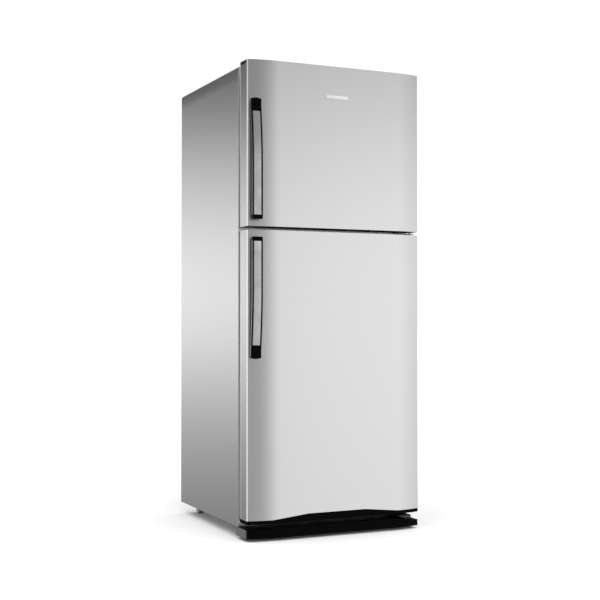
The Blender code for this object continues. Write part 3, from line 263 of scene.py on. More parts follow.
@dataclass(frozen=True)
class Finish:
    """One surface finish, with the record's slot that it belongs to."""

    slot: str
    colour: Colour
    second: Colour
    roughness: float
    metallic: float = 0.0
    grain: Grain = Grain.SILKY
    relief: float = 0.05
    unevenness: float = 0.06
    mottle: float = 0.5
    mottle_scale: float = 9.0
    dust: float = 0.0
    wear: float = 0.0
    worn: Colour = grey(0.6)
    specular: float = 0.5
    coat: float = 0.0
    transmission: float = 0.0
    ior: float = 1.5
    variant: str = ""

    @property
    def name(self) -> str:
        """Name of the finish's material."""
        return self.slot + "_finish" + self.variant

    def material(self) -> bpy.types.Material:
        """Give the finish's material, built the first time it is asked for.

        Returns:
            The material.
        """
        if self.name in bpy.data.materials:
            return bpy.data.materials[self.name]
        made = bpy.data.materials.new(self.name)
        made.use_nodes = True
        wiring = Wiring(made.node_tree)
        shader = made.node_tree.nodes["Principled BSDF"]
        for socket, value in (("Metallic", self.metallic), ("Coat Weight", self.coat), ("IOR", self.ior),
                              ("Specular IOR Level", self.specular),
                              ("Transmission Weight", self.transmission)):
            shader.inputs[socket].default_value = value
        vector = wiring.node("TexCoord").outputs["Object"]
        mottle = self._effect(wiring, Effect.MOTTLE, vector, Scale=self.mottle_scale, Amount=self.mottle,
                              Colour=(*self.colour, 1.0), Second_Colour=(*self.second, 1.0))
        uneven = wiring.ramp(mottle["Mask"], 0.0, 1.0, self.roughness - self.unevenness / 2,
                             self.roughness + self.unevenness / 2)
        grain = self._effect(wiring, Effect.GRAIN, vector, Stretch=self.grain.value, Depth=1.0)
        textured = wiring.math("ADD", uneven, wiring.times(wiring.math("SUBTRACT", grain["Height"], 0.5),
                                                           self.unevenness))
        surface = {"Colour": mottle["Colour"], "Roughness": textured}
        if self.dust:
            surface = self._effect(wiring, Effect.DUST, vector, Amount=self.dust, Colour=surface["Colour"],
                                   Roughness=surface["Roughness"])
        if self.wear:
            surface = self._effect(wiring, Effect.WEAR, vector, Amount=self.wear, Colour=surface["Colour"],
                                   Worn_Colour=(*self.worn, 1.0), Roughness=surface["Roughness"])
        bump = wiring.put("Bump", {"Strength": self.relief, "Distance": RELIEF_DISTANCE,
                                   "Height": grain["Height"]})
        for socket, source in (("Base Color", surface["Colour"]), ("Roughness", surface["Roughness"]),
                               ("Normal", bump)):
            wiring.feed(shader.inputs[socket], source)
        return made

    @staticmethod
    def _effect(wiring: Wiring, effect: Effect, vector: object, **values: object) -> object:
        """Place an effect's group.

        Args:
            wiring: the material's tree.
            effect: which effect.
            vector: coordinates.
            values: the group's other inputs, with _ for a space.

        Returns:
            The group's outputs.
        """
        placed = wiring.node("Group", node_tree=effect_group(effect))
        wiring.feed(placed.inputs["Vector"], vector)
        for name, value in values.items():
            wiring.feed(placed.inputs[name.replace("_", " ")], value)
        return placed.outputs


BRUSHED_DOOR = Finish("brushed_silver", grey(0.64), grey(0.632), 0.28, 1.0,
                      Grain.BRUSHED_ACROSS, 0.05, 0.008, 0.6, 160.0)
BRUSHED_INSERT = Finish("brushed_silver", grey(0.46), grey(0.36), 0.28, 1.0,
                        Grain.BRUSHED_UPRIGHT, 0.18, 0.08, 0.6, 14.0, variant="_insert")
CASE_SILVER = Finish("silver_paint", grey(0.64), grey(0.630), 0.26, 0.95,
                     Grain.PEEL, 0.05, 0.008, 0.6, 120.0, dust=0.2)
GREY_PAINT = Finish("grey_paint", (0.42, 0.43, 0.44), (0.37, 0.38, 0.39), 0.42, 0.35, Grain.PEEL, 0.12,
                    0.08, 0.6, 8.0, dust=0.4, wear=0.4, worn=(0.62, 0.62, 0.63))
ZINC = Finish("zinc_steel", (0.46, 0.47, 0.48), (0.36, 0.37, 0.39), 0.38, 1.0, Grain.DRAWN, 0.10, 0.14,
              0.8, 60.0, dust=0.3, wear=0.5, worn=(0.70, 0.70, 0.71))
BLACK_MATTE = Finish("black_plastic", (0.0012, 0.0012, 0.0013), (0.0022, 0.0022, 0.0024), 0.40, 0.0,
                     Grain.PEBBLED, 0.12, 0.10, 0.6, 30.0, wear=0.15, worn=grey(0.02),
                     specular=0.018)
BLACK_CAP = Finish("black_plastic", (0.001, 0.013, 0.016), (0.002, 0.018, 0.021), 0.36, 0.0,
                   Grain.PEBBLED, 0.10, 0.08, 0.6, 60.0, specular=0.12, variant="_cap")
BLACK_GLOSS = Finish("black_gloss", (0.0010, 0.0010, 0.0012), (0.0020, 0.0020, 0.0022), 0.20, 0.0,
                     Grain.SILKY, 0.03, 0.05, 0.5, 20.0, wear=0.15, worn=grey(0.015),
                     specular=0.02)
# Grey copy of the black plastic for the kick panel's side plates: painted sheen on its side faces.
KICK_END_SHEEN = Finish("black_plastic", (0.12, 0.12, 0.122), (0.09, 0.09, 0.092), 0.42, 0.0, Grain.PEBBLED,
                  0.12, 0.10, 0.6, 30.0, specular=0.4, variant="_sheen_end")
# Near-black copy of the zinc steel for the lower hinge: painted shade where it sits under the door.
HINGE_SHADED = Finish("zinc_steel", (0.050, 0.050, 0.052), (0.036, 0.036, 0.038), 0.42, 0.3, Grain.PEEL,
                    0.10, 0.10, 0.7, 50.0, wear=0.4, worn=(0.25, 0.25, 0.26), variant="_shaded")
# Light grey metal copy of the black gloss for the handle's side beads: a painted highlight line along the
# bar's sides.
HANDLE_HIGHLIGHT_BEAD = Finish("black_gloss", grey(0.34), grey(0.28), 0.26, 1.0, Grain.DRAWN, 0.05,
                     0.08, 0.6, 40.0, variant="_highlight_bead")
DARK_GREY = Finish("dark_grey_plastic", (0.05, 0.055, 0.06), (0.035, 0.04, 0.044), 0.50, 0.0,
                   Grain.PEBBLED, 0.20, 0.10, 0.6, 16.0, dust=0.25, wear=0.3, worn=(0.14, 0.14, 0.15))
WHITE = Finish("white_plastic", (0.80, 0.81, 0.81), (0.74, 0.755, 0.76), 0.34, 0.0, Grain.PEBBLED, 0.05,
               0.08, 0.5, 6.0, wear=0.3, worn=grey(0.88))
GREY_PLASTIC = Finish("grey_plastic", (0.42, 0.43, 0.44), (0.36, 0.37, 0.38), 0.42, 0.0, Grain.PEBBLED,
                      0.14, 0.08, 0.6, 14.0, dust=0.1, wear=0.3, worn=(0.55, 0.55, 0.56))
CLEAR = Finish("clear_plastic", (0.90, 0.94, 0.95), (0.86, 0.91, 0.93), 0.07, 0.0, Grain.SILKY, 0.02,
               0.04, 0.4, 10.0, transmission=1.0, ior=1.46)
GLASS = Finish("shelf_glass", (0.86, 0.95, 0.92), (0.83, 0.93, 0.90), 0.03, 0.0, Grain.SILKY, 0.01,
               0.03, 0.4, 6.0, transmission=1.0, ior=1.5)
SEAL = Finish("seal_rubber", (0.36, 0.365, 0.37), (0.30, 0.305, 0.31), 0.62, 0.0, Grain.PEBBLED, 0.18,
              0.10, 0.6, 20.0, dust=0.15, specular=0.35)
RUBBER = Finish("black_rubber", (0.022, 0.022, 0.023), grey(0.035), 0.68, 0.0, Grain.PEBBLED,
                0.30, 0.12, 0.7, 30.0, dust=0.35, wear=0.3, worn=grey(0.08), specular=0.3)
ALUMINIUM = Finish("coil_aluminium", (0.74, 0.75, 0.76), (0.64, 0.65, 0.67), 0.34, 1.0, Grain.DRAWN, 0.12,
                   0.12, 0.7, 40.0)
COPPER = Finish("coil_aluminium", (0.72, 0.40, 0.27), (0.55, 0.30, 0.20), 0.34, 1.0, Grain.SILKY, 0.10,
                0.14, 0.8, 70.0, variant="_copper")
COMPRESSOR = Finish("compressor_paint", (0.012, 0.012, 0.013), grey(0.022), 0.36, 0.0,
                    Grain.PEEL, 0.20, 0.14, 0.7, 25.0, dust=0.5, wear=0.5, worn=(0.16, 0.15, 0.14))
FOAM = Finish("insulation_foam", (0.76, 0.64, 0.36), (0.62, 0.50, 0.26), 0.85, 0.0, Grain.PEBBLED, 0.8,
              0.10, 0.9, 40.0, specular=0.2)
BADGE_METAL = Finish("badge_metal", (0.86, 0.86, 0.87), (0.78, 0.78, 0.79), 0.16, 1.0,
                     Grain.BRUSHED_ACROSS, 0.05, 0.06, 0.5, 30.0)
GREY_PAINT_PLASTIC = Finish("grey_paint", (0.34, 0.35, 0.36), (0.29, 0.30, 0.31), 0.45, 0.0,
                            Grain.PEBBLED, 0.16, 0.08, 0.6, 16.0, dust=0.35, wear=0.3,
                            worn=(0.5, 0.5, 0.51), variant="_cap")
CLEAR_GREY = Finish("white_plastic", (0.72, 0.76, 0.78), (0.68, 0.72, 0.74), 0.30, 0.0, Grain.PEBBLED,
                    0.05, 0.08, 0.5, 8.0, wear=0.3, worn=grey(0.85), variant="_shelf")
ICE_BLUE = Finish("white_plastic", (0.52, 0.66, 0.78), (0.47, 0.61, 0.74), 0.28, 0.0, Grain.PEBBLED,
                  0.05, 0.08, 0.5, 14.0, wear=0.3, worn=(0.75, 0.82, 0.88), variant="_ice")
BULB = Finish("clear_plastic", (0.94, 0.93, 0.90), (0.90, 0.89, 0.86), 0.22, 0.0, Grain.SILKY, 0.01,
              0.03, 0.3, 40.0, variant="_bulb")


# ---------------- modelling
@dataclass
class Station:
    """A place on a sweep's path, with the directions in which its profile is drawn."""

    place: Vector
    across: Vector
    up: Vector


Test = Callable[[Vector], bool]
EdgeTest = Callable[[Vector, Vector], bool]
Rule = Callable[[Vector], Vector]


class Shape:
    """A mesh in the making: each method is one modelling step."""

    def __init__(self) -> None:
        """Start empty."""
        self.mesh = bmesh.new()

    def block(self, low: Point, high: Point) -> "Shape":
        """Add a block.

        Args:
            low: its lowest corner.
            high: its highest corner.

        Returns:
            The shape.
        """
        size = Vector(high) - Vector(low)
        place = Matrix.Translation((Vector(high) + Vector(low)) / 2) @ Matrix.Diagonal((*size, 1.0))
        bmesh.ops.create_cube(self.mesh, size=1.0, matrix=place)
        return self

    def rod(self, centre: Point, axis: Axis, length: float, radius: float, sides: int = 32) -> "Shape":
        """Add a closed round bar.

        Args:
            centre: its middle.
            axis: the way it points.
            length: its length.
            radius: its radius.
            sides: number of its sides.

        Returns:
            The shape.
        """
        bmesh.ops.create_cone(self.mesh, cap_ends=True, segments=sides, radius1=radius,
                              radius2=radius, depth=length,
                              matrix=Matrix.Translation(Vector(centre)) @ axis.turn)
        return self

    def lathe(self, outline: Outline, centre: Point, axis: Axis, sides: int = 40,
              bored: bool = False) -> "Shape":
        """Spin an outline into a closed solid.

        Args:
            outline: (radius, height) pairs that start and end on the axis, or go round a ring's section.
            centre: where height 0 lies on the axis.
            axis: the axis of the spin.
            sides: number of steps.
            bored: whether the solid is a ring.

        Returns:
            The shape.
        """
        place = Matrix.Translation(Vector(centre)) @ axis.turn
        verts = [self.mesh.verts.new(place @ Vector((radius, 0.0, height))) for radius, height in outline]
        edges = [self.mesh.edges.new(pair) for pair in zip(verts, verts[1:] + (verts[:1] if bored else []))]
        bmesh.ops.spin(self.mesh, geom=verts + edges, cent=centre, axis=place.to_3x3() @ Vector((0, 0, 1)),
                       angle=math.tau, steps=sides, use_merge=True)
        if bored:
            return self
        ends = [vert for vert in self.mesh.verts if any(
            (vert.co - place @ Vector((0.0, 0.0, outline[end][1]))).length < TINY for end in (0, -1))]
        bmesh.ops.remove_doubles(self.mesh, verts=ends, dist=TINY)
        return self

    def sweep(self, profile: Outline, stations: Sequence[Station], closed: bool = False) -> "Shape":
        """Carry a closed profile along a path.

        Args:
            profile: (across, up) pairs.
            stations: the path's places.
            closed: whether the path runs back into itself; its ends are capped otherwise.

        Returns:
            The shape.
        """
        loops = []
        for station in stations:
            verts = [self.mesh.verts.new(station.place + station.across * u + station.up * v)
                     for u, v in profile]
            loops.append([self.mesh.edges.new((verts[index - 1], vert)) for index, vert in enumerate(verts)])
        for first, second in zip(loops, loops[1:] + (loops[:1] if closed else [])):
            bmesh.ops.bridge_loops(self.mesh, edges=first + second)
        if not closed:
            for end in (loops[0], loops[-1]):
                bmesh.ops.edgeloop_fill(self.mesh, edges=end)
        return self

    def tube(self, points: Sequence[Point], radius: float, sides: int = 12) -> "Shape":
        """Add a bent pipe.

        Args:
            points: the places on its middle line.
            radius: its radius.
            sides: number of its sides.

        Returns:
            The shape.
        """
        places = [Vector(point) for point in points]
        ways = [(places[min(index + 1, len(places) - 1)] - places[max(index - 1, 0)]).normalized()
                for index in range(len(places))]
        across = ways[0].orthogonal().normalized()
        stations = []
        for place, way in zip(places, ways):
            across = (across - way * across.dot(way)).normalized()
            stations.append(Station(place, across, way.cross(across)))
        circle = [(radius * math.cos(math.tau * step / sides), radius * math.sin(math.tau * step / sides))
                  for step in range(sides)]
        return self.sweep(circle, stations)

    def slice(self, axis: Axis, places: Iterable[float]) -> "Shape":
        """Cut every face along planes across an axis, so that a loop of points stands at each.

        Args:
            axis: the axis that the planes stand across.
            places: where they stand.

        Returns:
            The shape.
        """
        for place in places:
            everything = [*self.mesh.verts, *self.mesh.edges, *self.mesh.faces]
            bmesh.ops.bisect_plane(self.mesh, geom=everything, dist=CUT, plane_co=axis.way * place,
                                   plane_no=axis.way)
        return self

    def faces(self, test: Test) -> list[bmesh.types.BMFace]:
        """Faces whose middle passes a test."""
        return [face for face in self.mesh.faces if test(face.calc_center_median())]

    def drop(self, test: Test) -> "Shape":
        """Take away the faces whose middle passes a test."""
        bmesh.ops.delete(self.mesh, geom=self.faces(test), context="FACES")
        return self

    def push(self, test: Test, way: Point) -> "Shape":
        """Push a patch of faces in or out.

        Args:
            test: passes the middles of the patch's faces.
            way: how far, as a vector.

        Returns:
            The shape.
        """
        patch = self.faces(test)
        pushed = bmesh.ops.extrude_face_region(self.mesh, geom=patch)["geom"]
        bmesh.ops.delete(self.mesh, geom=[face for face in patch if face.is_valid], context="FACES_ONLY")
        moved = [item for item in pushed if isinstance(item, bmesh.types.BMVert)]
        bmesh.ops.translate(self.mesh, verts=moved, vec=Vector(way))
        return self

    def inset(self, test: Test, thickness: float, depth: float = 0.0) -> "Shape":
        """Inset a patch of faces.

        Args:
            test: passes the middles of the patch's faces.
            thickness: width of the border.
            depth: how far the patch rises.

        Returns:
            The shape.
        """
        self.mesh.normal_update()
        bmesh.ops.inset_region(self.mesh, faces=self.faces(test), thickness=thickness, depth=depth,
                               use_even_offset=True, use_boundary=True)
        return self

    def _bevel(self, edges: list[bmesh.types.BMEdge], radius: float, segments: int) -> "Shape":
        """Round edges to a radius, in a number of steps."""
        bmesh.ops.bevel(self.mesh, geom=edges, offset=radius, offset_type="OFFSET", segments=segments,
                        profile=0.5, affect="EDGES", material=-1, clamp_overlap=True)
        return self

    def round(self, test: EdgeTest, radius: float, segments: int = 3) -> "Shape":
        """Round the edges whose two ends pass a test."""
        return self._bevel([edge for edge in self.mesh.edges if test(*(vert.co for vert in edge.verts))],
                           radius, segments)

    def soften(self, test: Test, radius: float, segments: int = 3) -> "Shape":
        """Round the outline of the patch of faces whose middles pass a test."""
        patch = set(self.faces(test))
        outline = [edge for edge in self.mesh.edges if len(patch.intersection(edge.link_faces)) == 1]
        return self._bevel(outline, radius, segments)

    def move(self, rule: Rule) -> "Shape":
        """Move each point by a rule."""
        for vert in self.mesh.verts:
            vert.co = rule(vert.co.copy())
        return self

    def thicken(self, wall: float) -> "Shape":
        """Give an open sheet a thickness, towards its inner side."""
        bmesh.ops.solidify(self.mesh, geom=list(self.mesh.faces), thickness=wall)
        return self

    def pair(self, near: float, far: float, low: tuple[float, float], high: tuple[float, float],
             radius: float) -> "Shape":
        """Add a rounded block on each side of X = 0.

        Args:
            near: its distance from X = 0.
            far: how far out it reaches.
            low: its lowest Y and Z.
            high: its highest Y and Z.
            radius: radius of its edges.

        Returns:
            The shape.
        """
        for turn in (-1, 1):
            left, right = sorted((turn * near, turn * far))
            self.take(shaped((left, *low), (right, *high), radius))
        return self

    def take(self, other: "Shape") -> "Shape":
        """Add another shape's shells to this one, and use it up.

        Args:
            other: the other shape.

        Returns:
            The shape.
        """
        holder = bpy.data.meshes.new("part")
        other.mesh.to_mesh(holder)
        other.mesh.free()
        self.mesh.from_mesh(holder)
        bpy.data.meshes.remove(holder)
        return self

    def node(self, name: str, crease: float = 1.0) -> "Shape":
        """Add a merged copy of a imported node's mesh.

        Args:
            name: the node.
            crease: angle in degrees below which its triangles are joined into one face.

        Returns:
            The shape.
        """
        copied = bmesh.new()
        copied.from_mesh(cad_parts[name].data)
        bmesh.ops.remove_doubles(copied, verts=copied.verts, dist=TINY)
        bmesh.ops.dissolve_limit(copied, angle_limit=math.radians(crease), verts=copied.verts,
                                 edges=copied.edges)
        part = Shape()
        part.mesh.free()
        part.mesh = copied
        return self.take(part)


def along(axis: Axis) -> EdgeTest:
    """Make a test of whether an edge runs along an axis."""
    others = [other.value for other in Axis if other is not axis]
    return lambda first, second: all(abs(first[place] - second[place]) < TINY for place in others)


upright, level = along(Axis.Z), along(Axis.Y)


def middle_of(node: str) -> Vector:
    """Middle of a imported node's box."""
    return sum(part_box(node), Vector()) / 2


@dataclass
class Piece:
    """What a finished shape stands for, and how its edges are finished."""

    name: str
    finish: Finish
    body: str
    node: str = ""
    edge: float = 0.0004
    segments: int = 2
    crease: float = 32.0

    def make(self, shape: Shape) -> bpy.types.Object:
        """Turn a shape into a piece on its body.

        Args:
            shape: the shape, whose mesh is used up.

        Returns:
            The piece.
        """
        loose = [edge for edge in shape.mesh.edges if not edge.link_faces]
        bmesh.ops.delete(shape.mesh, geom=loose, context="EDGES")
        bmesh.ops.recalc_face_normals(shape.mesh, faces=shape.mesh.faces)
        mesh = bpy.data.meshes.new(self.name)
        shape.mesh.to_mesh(mesh)
        shape.mesh.free()
        piece = bpy.data.objects.new(self.name, mesh)
        bpy.context.scene.collection.objects.link(piece)
        mesh.shade_smooth()
        mesh.set_sharp_from_angle(angle=math.radians(self.crease))
        if self.edge:
            rounding = piece.modifiers.new("edges", "BEVEL")
            rounding.width, rounding.segments = self.edge, self.segments
            rounding.limit_method, rounding.angle_limit = "ANGLE", math.radians(self.crease)
            rounding.harden_normals = True
            view = bpy.context.evaluated_depsgraph_get()
            finished = bpy.data.meshes.new_from_object(piece.evaluated_get(view))
            piece.modifiers.clear()
            piece.data = finished
            bpy.data.meshes.remove(mesh)
            finished.name = self.name
        piece.data.materials.clear()
        piece.data.materials.append(self.finish.material())
        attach(piece, self.body)
        if self.node:
            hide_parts(self.node)
        return piece


def rounded_frame(half: float, low: float, high: float, y: float, radius: float,
                  steps: int = 5) -> list[Station]:
    """Stations round a rounded rectangle that faces the front.

    Args:
        half: half its width.
        low: its lower edge.
        high: its upper edge.
        y: where it stands.
        radius: radius of its corners.
        steps: steps in each corner.

    Returns:
        The stations, whose profiles are drawn outward and towards the back.
    """
    stations = []
    for quarter, (x, z) in enumerate(((half, high), (-half, high), (-half, low), (half, low))):
        middle = Vector((x - math.copysign(radius, x), y, z - radius if z == high else z + radius))
        for step in range(steps + 1):
            angle = math.pi / 2 * (quarter + step / steps)
            outward = Vector((math.cos(angle), 0.0, math.sin(angle)))
            stations.append(Station(middle + outward * radius, outward, Vector((0.0, 1.0, 0.0))))
    return stations


@dataclass(frozen=True)
class Bow:
    """Plan of the doors' and the kick panel's front: flat in the middle, curving back at the sides."""

    half: float
    plateau: float
    depth: float = 0.017
    run: float = 0.115
    corner: float = 0.005

    @property
    def edge(self) -> float:
        """Where the front meets the sides."""
        return self.plateau + self.depth

    def front(self, x: float, inset: float = 0.0) -> float:
        """Y of the front at a place across the width, or of a face that stands behind it."""
        share = min(1.0, max(0.0, (abs(x) - (self.half - self.run)) / self.run))
        return self.plateau + inset + self.depth * share * share

    def body(self, low: float, high: float, back: float, inset: float = 0.0, steps: int = 16) -> Shape:
        """Make a block with the bowed front.

        Args:
            low: its underside.
            high: its top.
            back: its rear face.
            inset: how far inside the outer faces its front and sides stand.
            steps: steps in the curve at each side.

        Returns:
            The block, with its upright front corners rounded.
        """
        side = self.half - inset
        start = self.edge + inset
        shape = Shape().block((-side, start, low), (side, back, high))
        cuts = [self.half - self.run * (1 - (step / steps)) for step in range(steps)]
        shape.slice(Axis.X, [-cut for cut in cuts if cut < side - 0.006]
                    + [cut for cut in cuts if cut < side - 0.006])
        shape.move(lambda p: Vector((p.x, self.front(p.x, inset), p.z)) if p.y < start + TINY else p)
        return shape.round(lambda a, b: upright(a, b) and abs(a.x) > side - TINY and a.y < start + 0.002,
                           max(self.corner - inset, 0.001), 6)


def add_screw(shape: Shape, centre: Point, way: Vector, radius: float = 0.0045) -> None:
    """Add a hexagon washer-head screw to a shape.

    Args:
        shape: the shape.
        centre: where the washer lies on the surface.
        way: which way the head points.
        radius: radius of the washer.
    """
    turn = way.to_track_quat("Z", "Y").to_matrix().to_4x4()
    washer, head = (24, radius, -0.0006, radius * 0.25), (6, radius * 0.62, 0.0, radius * 0.8)
    for sides, size, low, high in (washer, head):
        place = Matrix.Translation(Vector(centre) + way * (low + high) / 2) @ turn
        bmesh.ops.create_cone(shape.mesh, cap_ends=True, segments=sides, radius1=size, radius2=size * 0.94,
                              depth=high - low, matrix=place)


Hole = tuple[float, float, float, float]


def slots(shape: Shape, holes: Sequence[Hole], where: Test = lambda c: True) -> Shape:
    """Cut openings in an upright sheet.

    Args:
        shape: a sheet, not yet thickened.
        holes: each opening's low and high X, and low and high Z.
        where: passes the middles of the faces that may go.

    Returns:
        The sheet with its openings.
    """
    shape.slice(Axis.X, sorted({round(x, 6) for hole in holes for x in hole[:2]}))
    shape.slice(Axis.Z, sorted({round(z, 6) for hole in holes for z in hole[2:]}))
    return shape.drop(lambda c: where(c) and any(
        hole[0] < c.x < hole[1] and hole[2] < c.z < hole[3] for hole in holes))


def sheet(low: Point, high: Point) -> Shape:
    """Make the front face of a block between two corners, as a sheet to be worked on."""
    return Shape().block(low, high).drop(lambda c: c.y > low[1] + TINY)


RIM_CUTS = (0.25, 0.4, 0.46, 0.52, 0.58, 0.64, 0.75)    # shares of the depth where a rim can bend


def open_box(low: Vector, high: Vector, wall: float, corner: float, foot: float,
             rim: Callable[[Vector], float] | None = None) -> Shape:
    """Make a moulded box that is open at the top.

    Args:
        low: its lowest corner.
        high: its highest corner.
        wall: thickness of its walls.
        corner: radius of its upright corners.
        foot: radius of its lower edges.
        rim: how far the rim drops at a point, if it isn't level.

    Returns:
        The box.
    """
    shape = Shape().block(low, high)
    shape.round(upright, corner, 5)
    shape.slice(Axis.Y, [low.y + (high.y - low.y) * share for share in RIM_CUTS])
    shape.soften(lambda c: c.z < low.z + TINY, foot, 3)
    shape.drop(lambda c: c.z > high.z - TINY)
    if rim:
        shape.move(lambda p: Vector((p.x, p.y, p.z - rim(p))) if p.z > high.z - TINY else p)
    return shape.thicken(wall)


def slide(value: float, start: float, end: float) -> float:
    """Climb smoothly from 0 at start to 1 at end."""
    share = min(1.0, max(0.0, (value - start) / (end - start)))
    return share * share * (3 - 2 * share)


def lowered_front(low: Vector, high: Vector, drop: float) -> Callable[[Vector], float]:
    """Give a rim that drops towards the front of a box between two corners."""
    depth = high.y - low.y
    return lambda p: drop * (1 - slide(p.y, low.y + depth * 0.02, low.y + depth * 0.2))


def shaped(low: Point, high: Point, radius: float = 0.0015, segments: int = 3) -> Shape:
    """Make a block with all its edges rounded."""
    return Shape().block(low, high).round(lambda a, b: True, radius, segments)


# ---------------- doors
@dataclass
class Door:
    """A door: steel skin, end caps, foam, lining and seal."""

    body: str
    bow: Bow
    sheet: float = 0.001
    flush_cap: bool = False
    arch: bool = False
    arch_rise: float = 0.0141
    arch_flat: float = 0.110
    arch_foot: float = 0.245
    arch_blend: tuple[float, ...] = (-0.004, 0.0, 0.004)
    seal_overlap: float = 0.024
    rim_clearance: float = 0.0085
    rim_width: float = 0.022
    core_gap: float = 0.0056
    ledges: tuple[str, ...] = ()

    @property
    def gasket(self) -> str:
        """The seal's node."""
        return self.body.replace("_door", "_gasket")

    def build(self) -> None:
        """Build the door's own pieces."""
        self.skin()
        self.caps()
        self.lining()
        self.seal()
        LOG.info("%s: skin, caps, lining, seal", self.body)

    def rise(self, x: float) -> float:
        """How far the arched lower edge stands above its feet at a place across the width."""
        run = self.arch_foot - self.arch_flat
        shares = [min(1.0, max(0.0, (self.arch_foot - abs(x) + shift) / run)) for shift in self.arch_blend]
        return self.arch_rise * sum(shares) / len(shares) if self.arch else 0.0

    def arch_cuts(self) -> list[float]:
        """Places across the width where the arched edge bends."""
        bends = [end + shift for end in (self.arch_foot, self.arch_flat) for shift in self.arch_blend]
        return sorted([-bend for bend in bends] + bends) if self.arch else []

    def skin(self) -> None:
        """Fold the steel skin: bowed front, rounded upright corners and side returns."""
        low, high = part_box(self.body + "_panel")
        shape = self.bow.body(low.z, high.z, high.y)
        shape.slice(Axis.X, self.arch_cuts())
        notch = self.bow.edge + 2 * self.bow.corner - AIR
        step = high.z - (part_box("freezer_door_top_cap")[1].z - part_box("freezer_door_top_cap")[0].z) - AIR
        shape.drop(lambda c: not low.z + TINY < c.z < high.z - TINY or c.y > high.y - TINY)
        if self.flush_cap:
            shape.slice(Axis.Y, [notch]).slice(Axis.Z, [step])
            shape.drop(lambda c: abs(c.x) > self.bow.half - TINY and c.y > notch and c.z > step)
        if self.arch:
            shape.move(lambda p: Vector((p.x, p.y, p.z + self.rise(p.x))) if p.z < low.z + TINY else p)
        shape.thicken(self.sheet)
        Piece(self.body + "_skin", BRUSHED_DOOR, self.body, self.body + "_panel", edge=0.00025).make(shape)

    def caps(self) -> None:
        """Mould the two end caps, with a shallow tray pressed into each outer face."""
        for end in ("top", "bottom"):
            node = f"{self.body}_{end}_cap"
            low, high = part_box(node)
            flush = self.arch and end == "bottom"
            inset = 0.0 if flush else self.sheet + AIR
            top = high.z - (self.arch_rise if flush else 0.0)
            shape = self.bow.body(low.z, top, high.y, inset)
            if flush:
                shape.slice(Axis.X, self.arch_cuts())
                shape.move(lambda p: Vector((p.x, p.y, p.z + self.rise(p.x))) if p.z > top - TINY else p)
            face = top if end == "top" else low.z
            shape.inset(lambda c: abs(c.z - face) < TINY, 0.006, 0.0)
            shape.inset(lambda c: abs(c.z - face) < TINY and abs(c.x) < self.bow.half - 0.010
                        and c.y < high.y - 0.004 and c.y > self.bow.front(c.x) + 0.008, 0.0008, -0.0010)
            if self.flush_cap and end == "top":
                notch = self.bow.edge + 2 * self.bow.corner
                shape.slice(Axis.Y, [notch])
                for turn in (-1, 1):
                    shape.push(lambda c: c.x * turn > self.bow.half - inset - TINY and c.y > notch,
                               (turn * inset, 0.0, 0.0))
            finish = BLACK_CAP if end == "top" else BLACK_MATTE
            Piece(node + "_moulding", finish, self.body, node, edge=0.0005).make(shape)
        foam = Shape().node(self.body + "_foam")
        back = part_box(self.gasket)[0].y - self.core_gap
        foam.move(lambda p: Vector((p.x, min(p.y, back), p.z)))
        Piece(self.body + "_core", FOAM, self.body, self.body + "_foam", edge=0.0).make(foam)

    def rim_frame(self) -> tuple[float, float, float]:
        """Half width, lower and upper edge of the lining's raised rim."""
        low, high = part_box(self.gasket)
        shift = self.seal_overlap + self.rim_clearance
        return high.x - shift, low.z + shift, high.z - shift

    def lining(self) -> None:
        """Mould the lining: flange, raised rim with soft edges, pressed field, ledges for the bins."""
        low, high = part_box(self.body + "_liner")
        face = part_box(self.gasket)[0].y - AIR
        half, start, end = self.rim_frame()
        width = self.rim_width
        shape = Shape().block((low.x, face - 0.0050, low.z), (high.x, face, high.z))
        shape.slice(Axis.X, (-half, -half + width, half - width, half))
        shape.slice(Axis.Z, (start, start + width, end - width, end))

        def inside(c: Vector, inset: float) -> bool:
            """Whether a point is inside the rim's outline, shrunk by a distance."""
            return abs(c.x) < half - inset and start + inset < c.z < end - inset
        shape.push(lambda c: c.y > face - TINY and inside(c, 0.0) and not inside(c, width),
                   (0.0, high.y - face, 0.0))
        shape.round(lambda a, b: min(a.y, b.y) > high.y - TINY or (
            max(a.y, b.y) > high.y - TINY and level(a, b)), 0.0065, 4)
        field = width + 0.014
        shape.slice(Axis.X, (field - half, half - field)).slice(Axis.Z, (start + field, end - field))
        shape.push(lambda c: abs(c.y - face) < TINY and inside(c, field), (0.0, -0.0025, 0.0))
        for node in self.ledges:
            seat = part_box(node)[0].z - AIR
            inner = half - width
            shape.pair(inner - 0.006, inner + 0.002, (face + 0.004, seat - 0.006), (high.y - 0.006, seat),
                       0.0015)
        Piece(self.body + "_lining", WHITE, self.body, self.body + "_liner", edge=0.0008).make(shape)

    def seal(self) -> None:
        """Run the seal's bellows round the door."""
        low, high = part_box(self.gasket)
        half_width = 0.009
        reach = high.y - low.y
        profile = ((-0.0090, 0.0), (0.0090, 0.0), (0.0090, 0.0022), (0.0058, 0.0034), (0.0080, 0.0052),
                   (0.0054, 0.0070), (0.0082, 0.0090), (0.0090, reach - 0.0030), (0.0078, reach),
                   (-0.0072, reach), (-0.0090, reach - 0.0026), (-0.0066, 0.0084), (-0.0040, 0.0062),
                   (-0.0068, 0.0038), (-0.0090, 0.0028))
        path = rounded_frame(high.x - half_width, low.z + half_width, high.z - half_width, low.y, 0.013)
        Piece(self.gasket + "_bellows", SEAL, self.body, self.gasket).make(
            Shape().sweep(profile, path, closed=True))


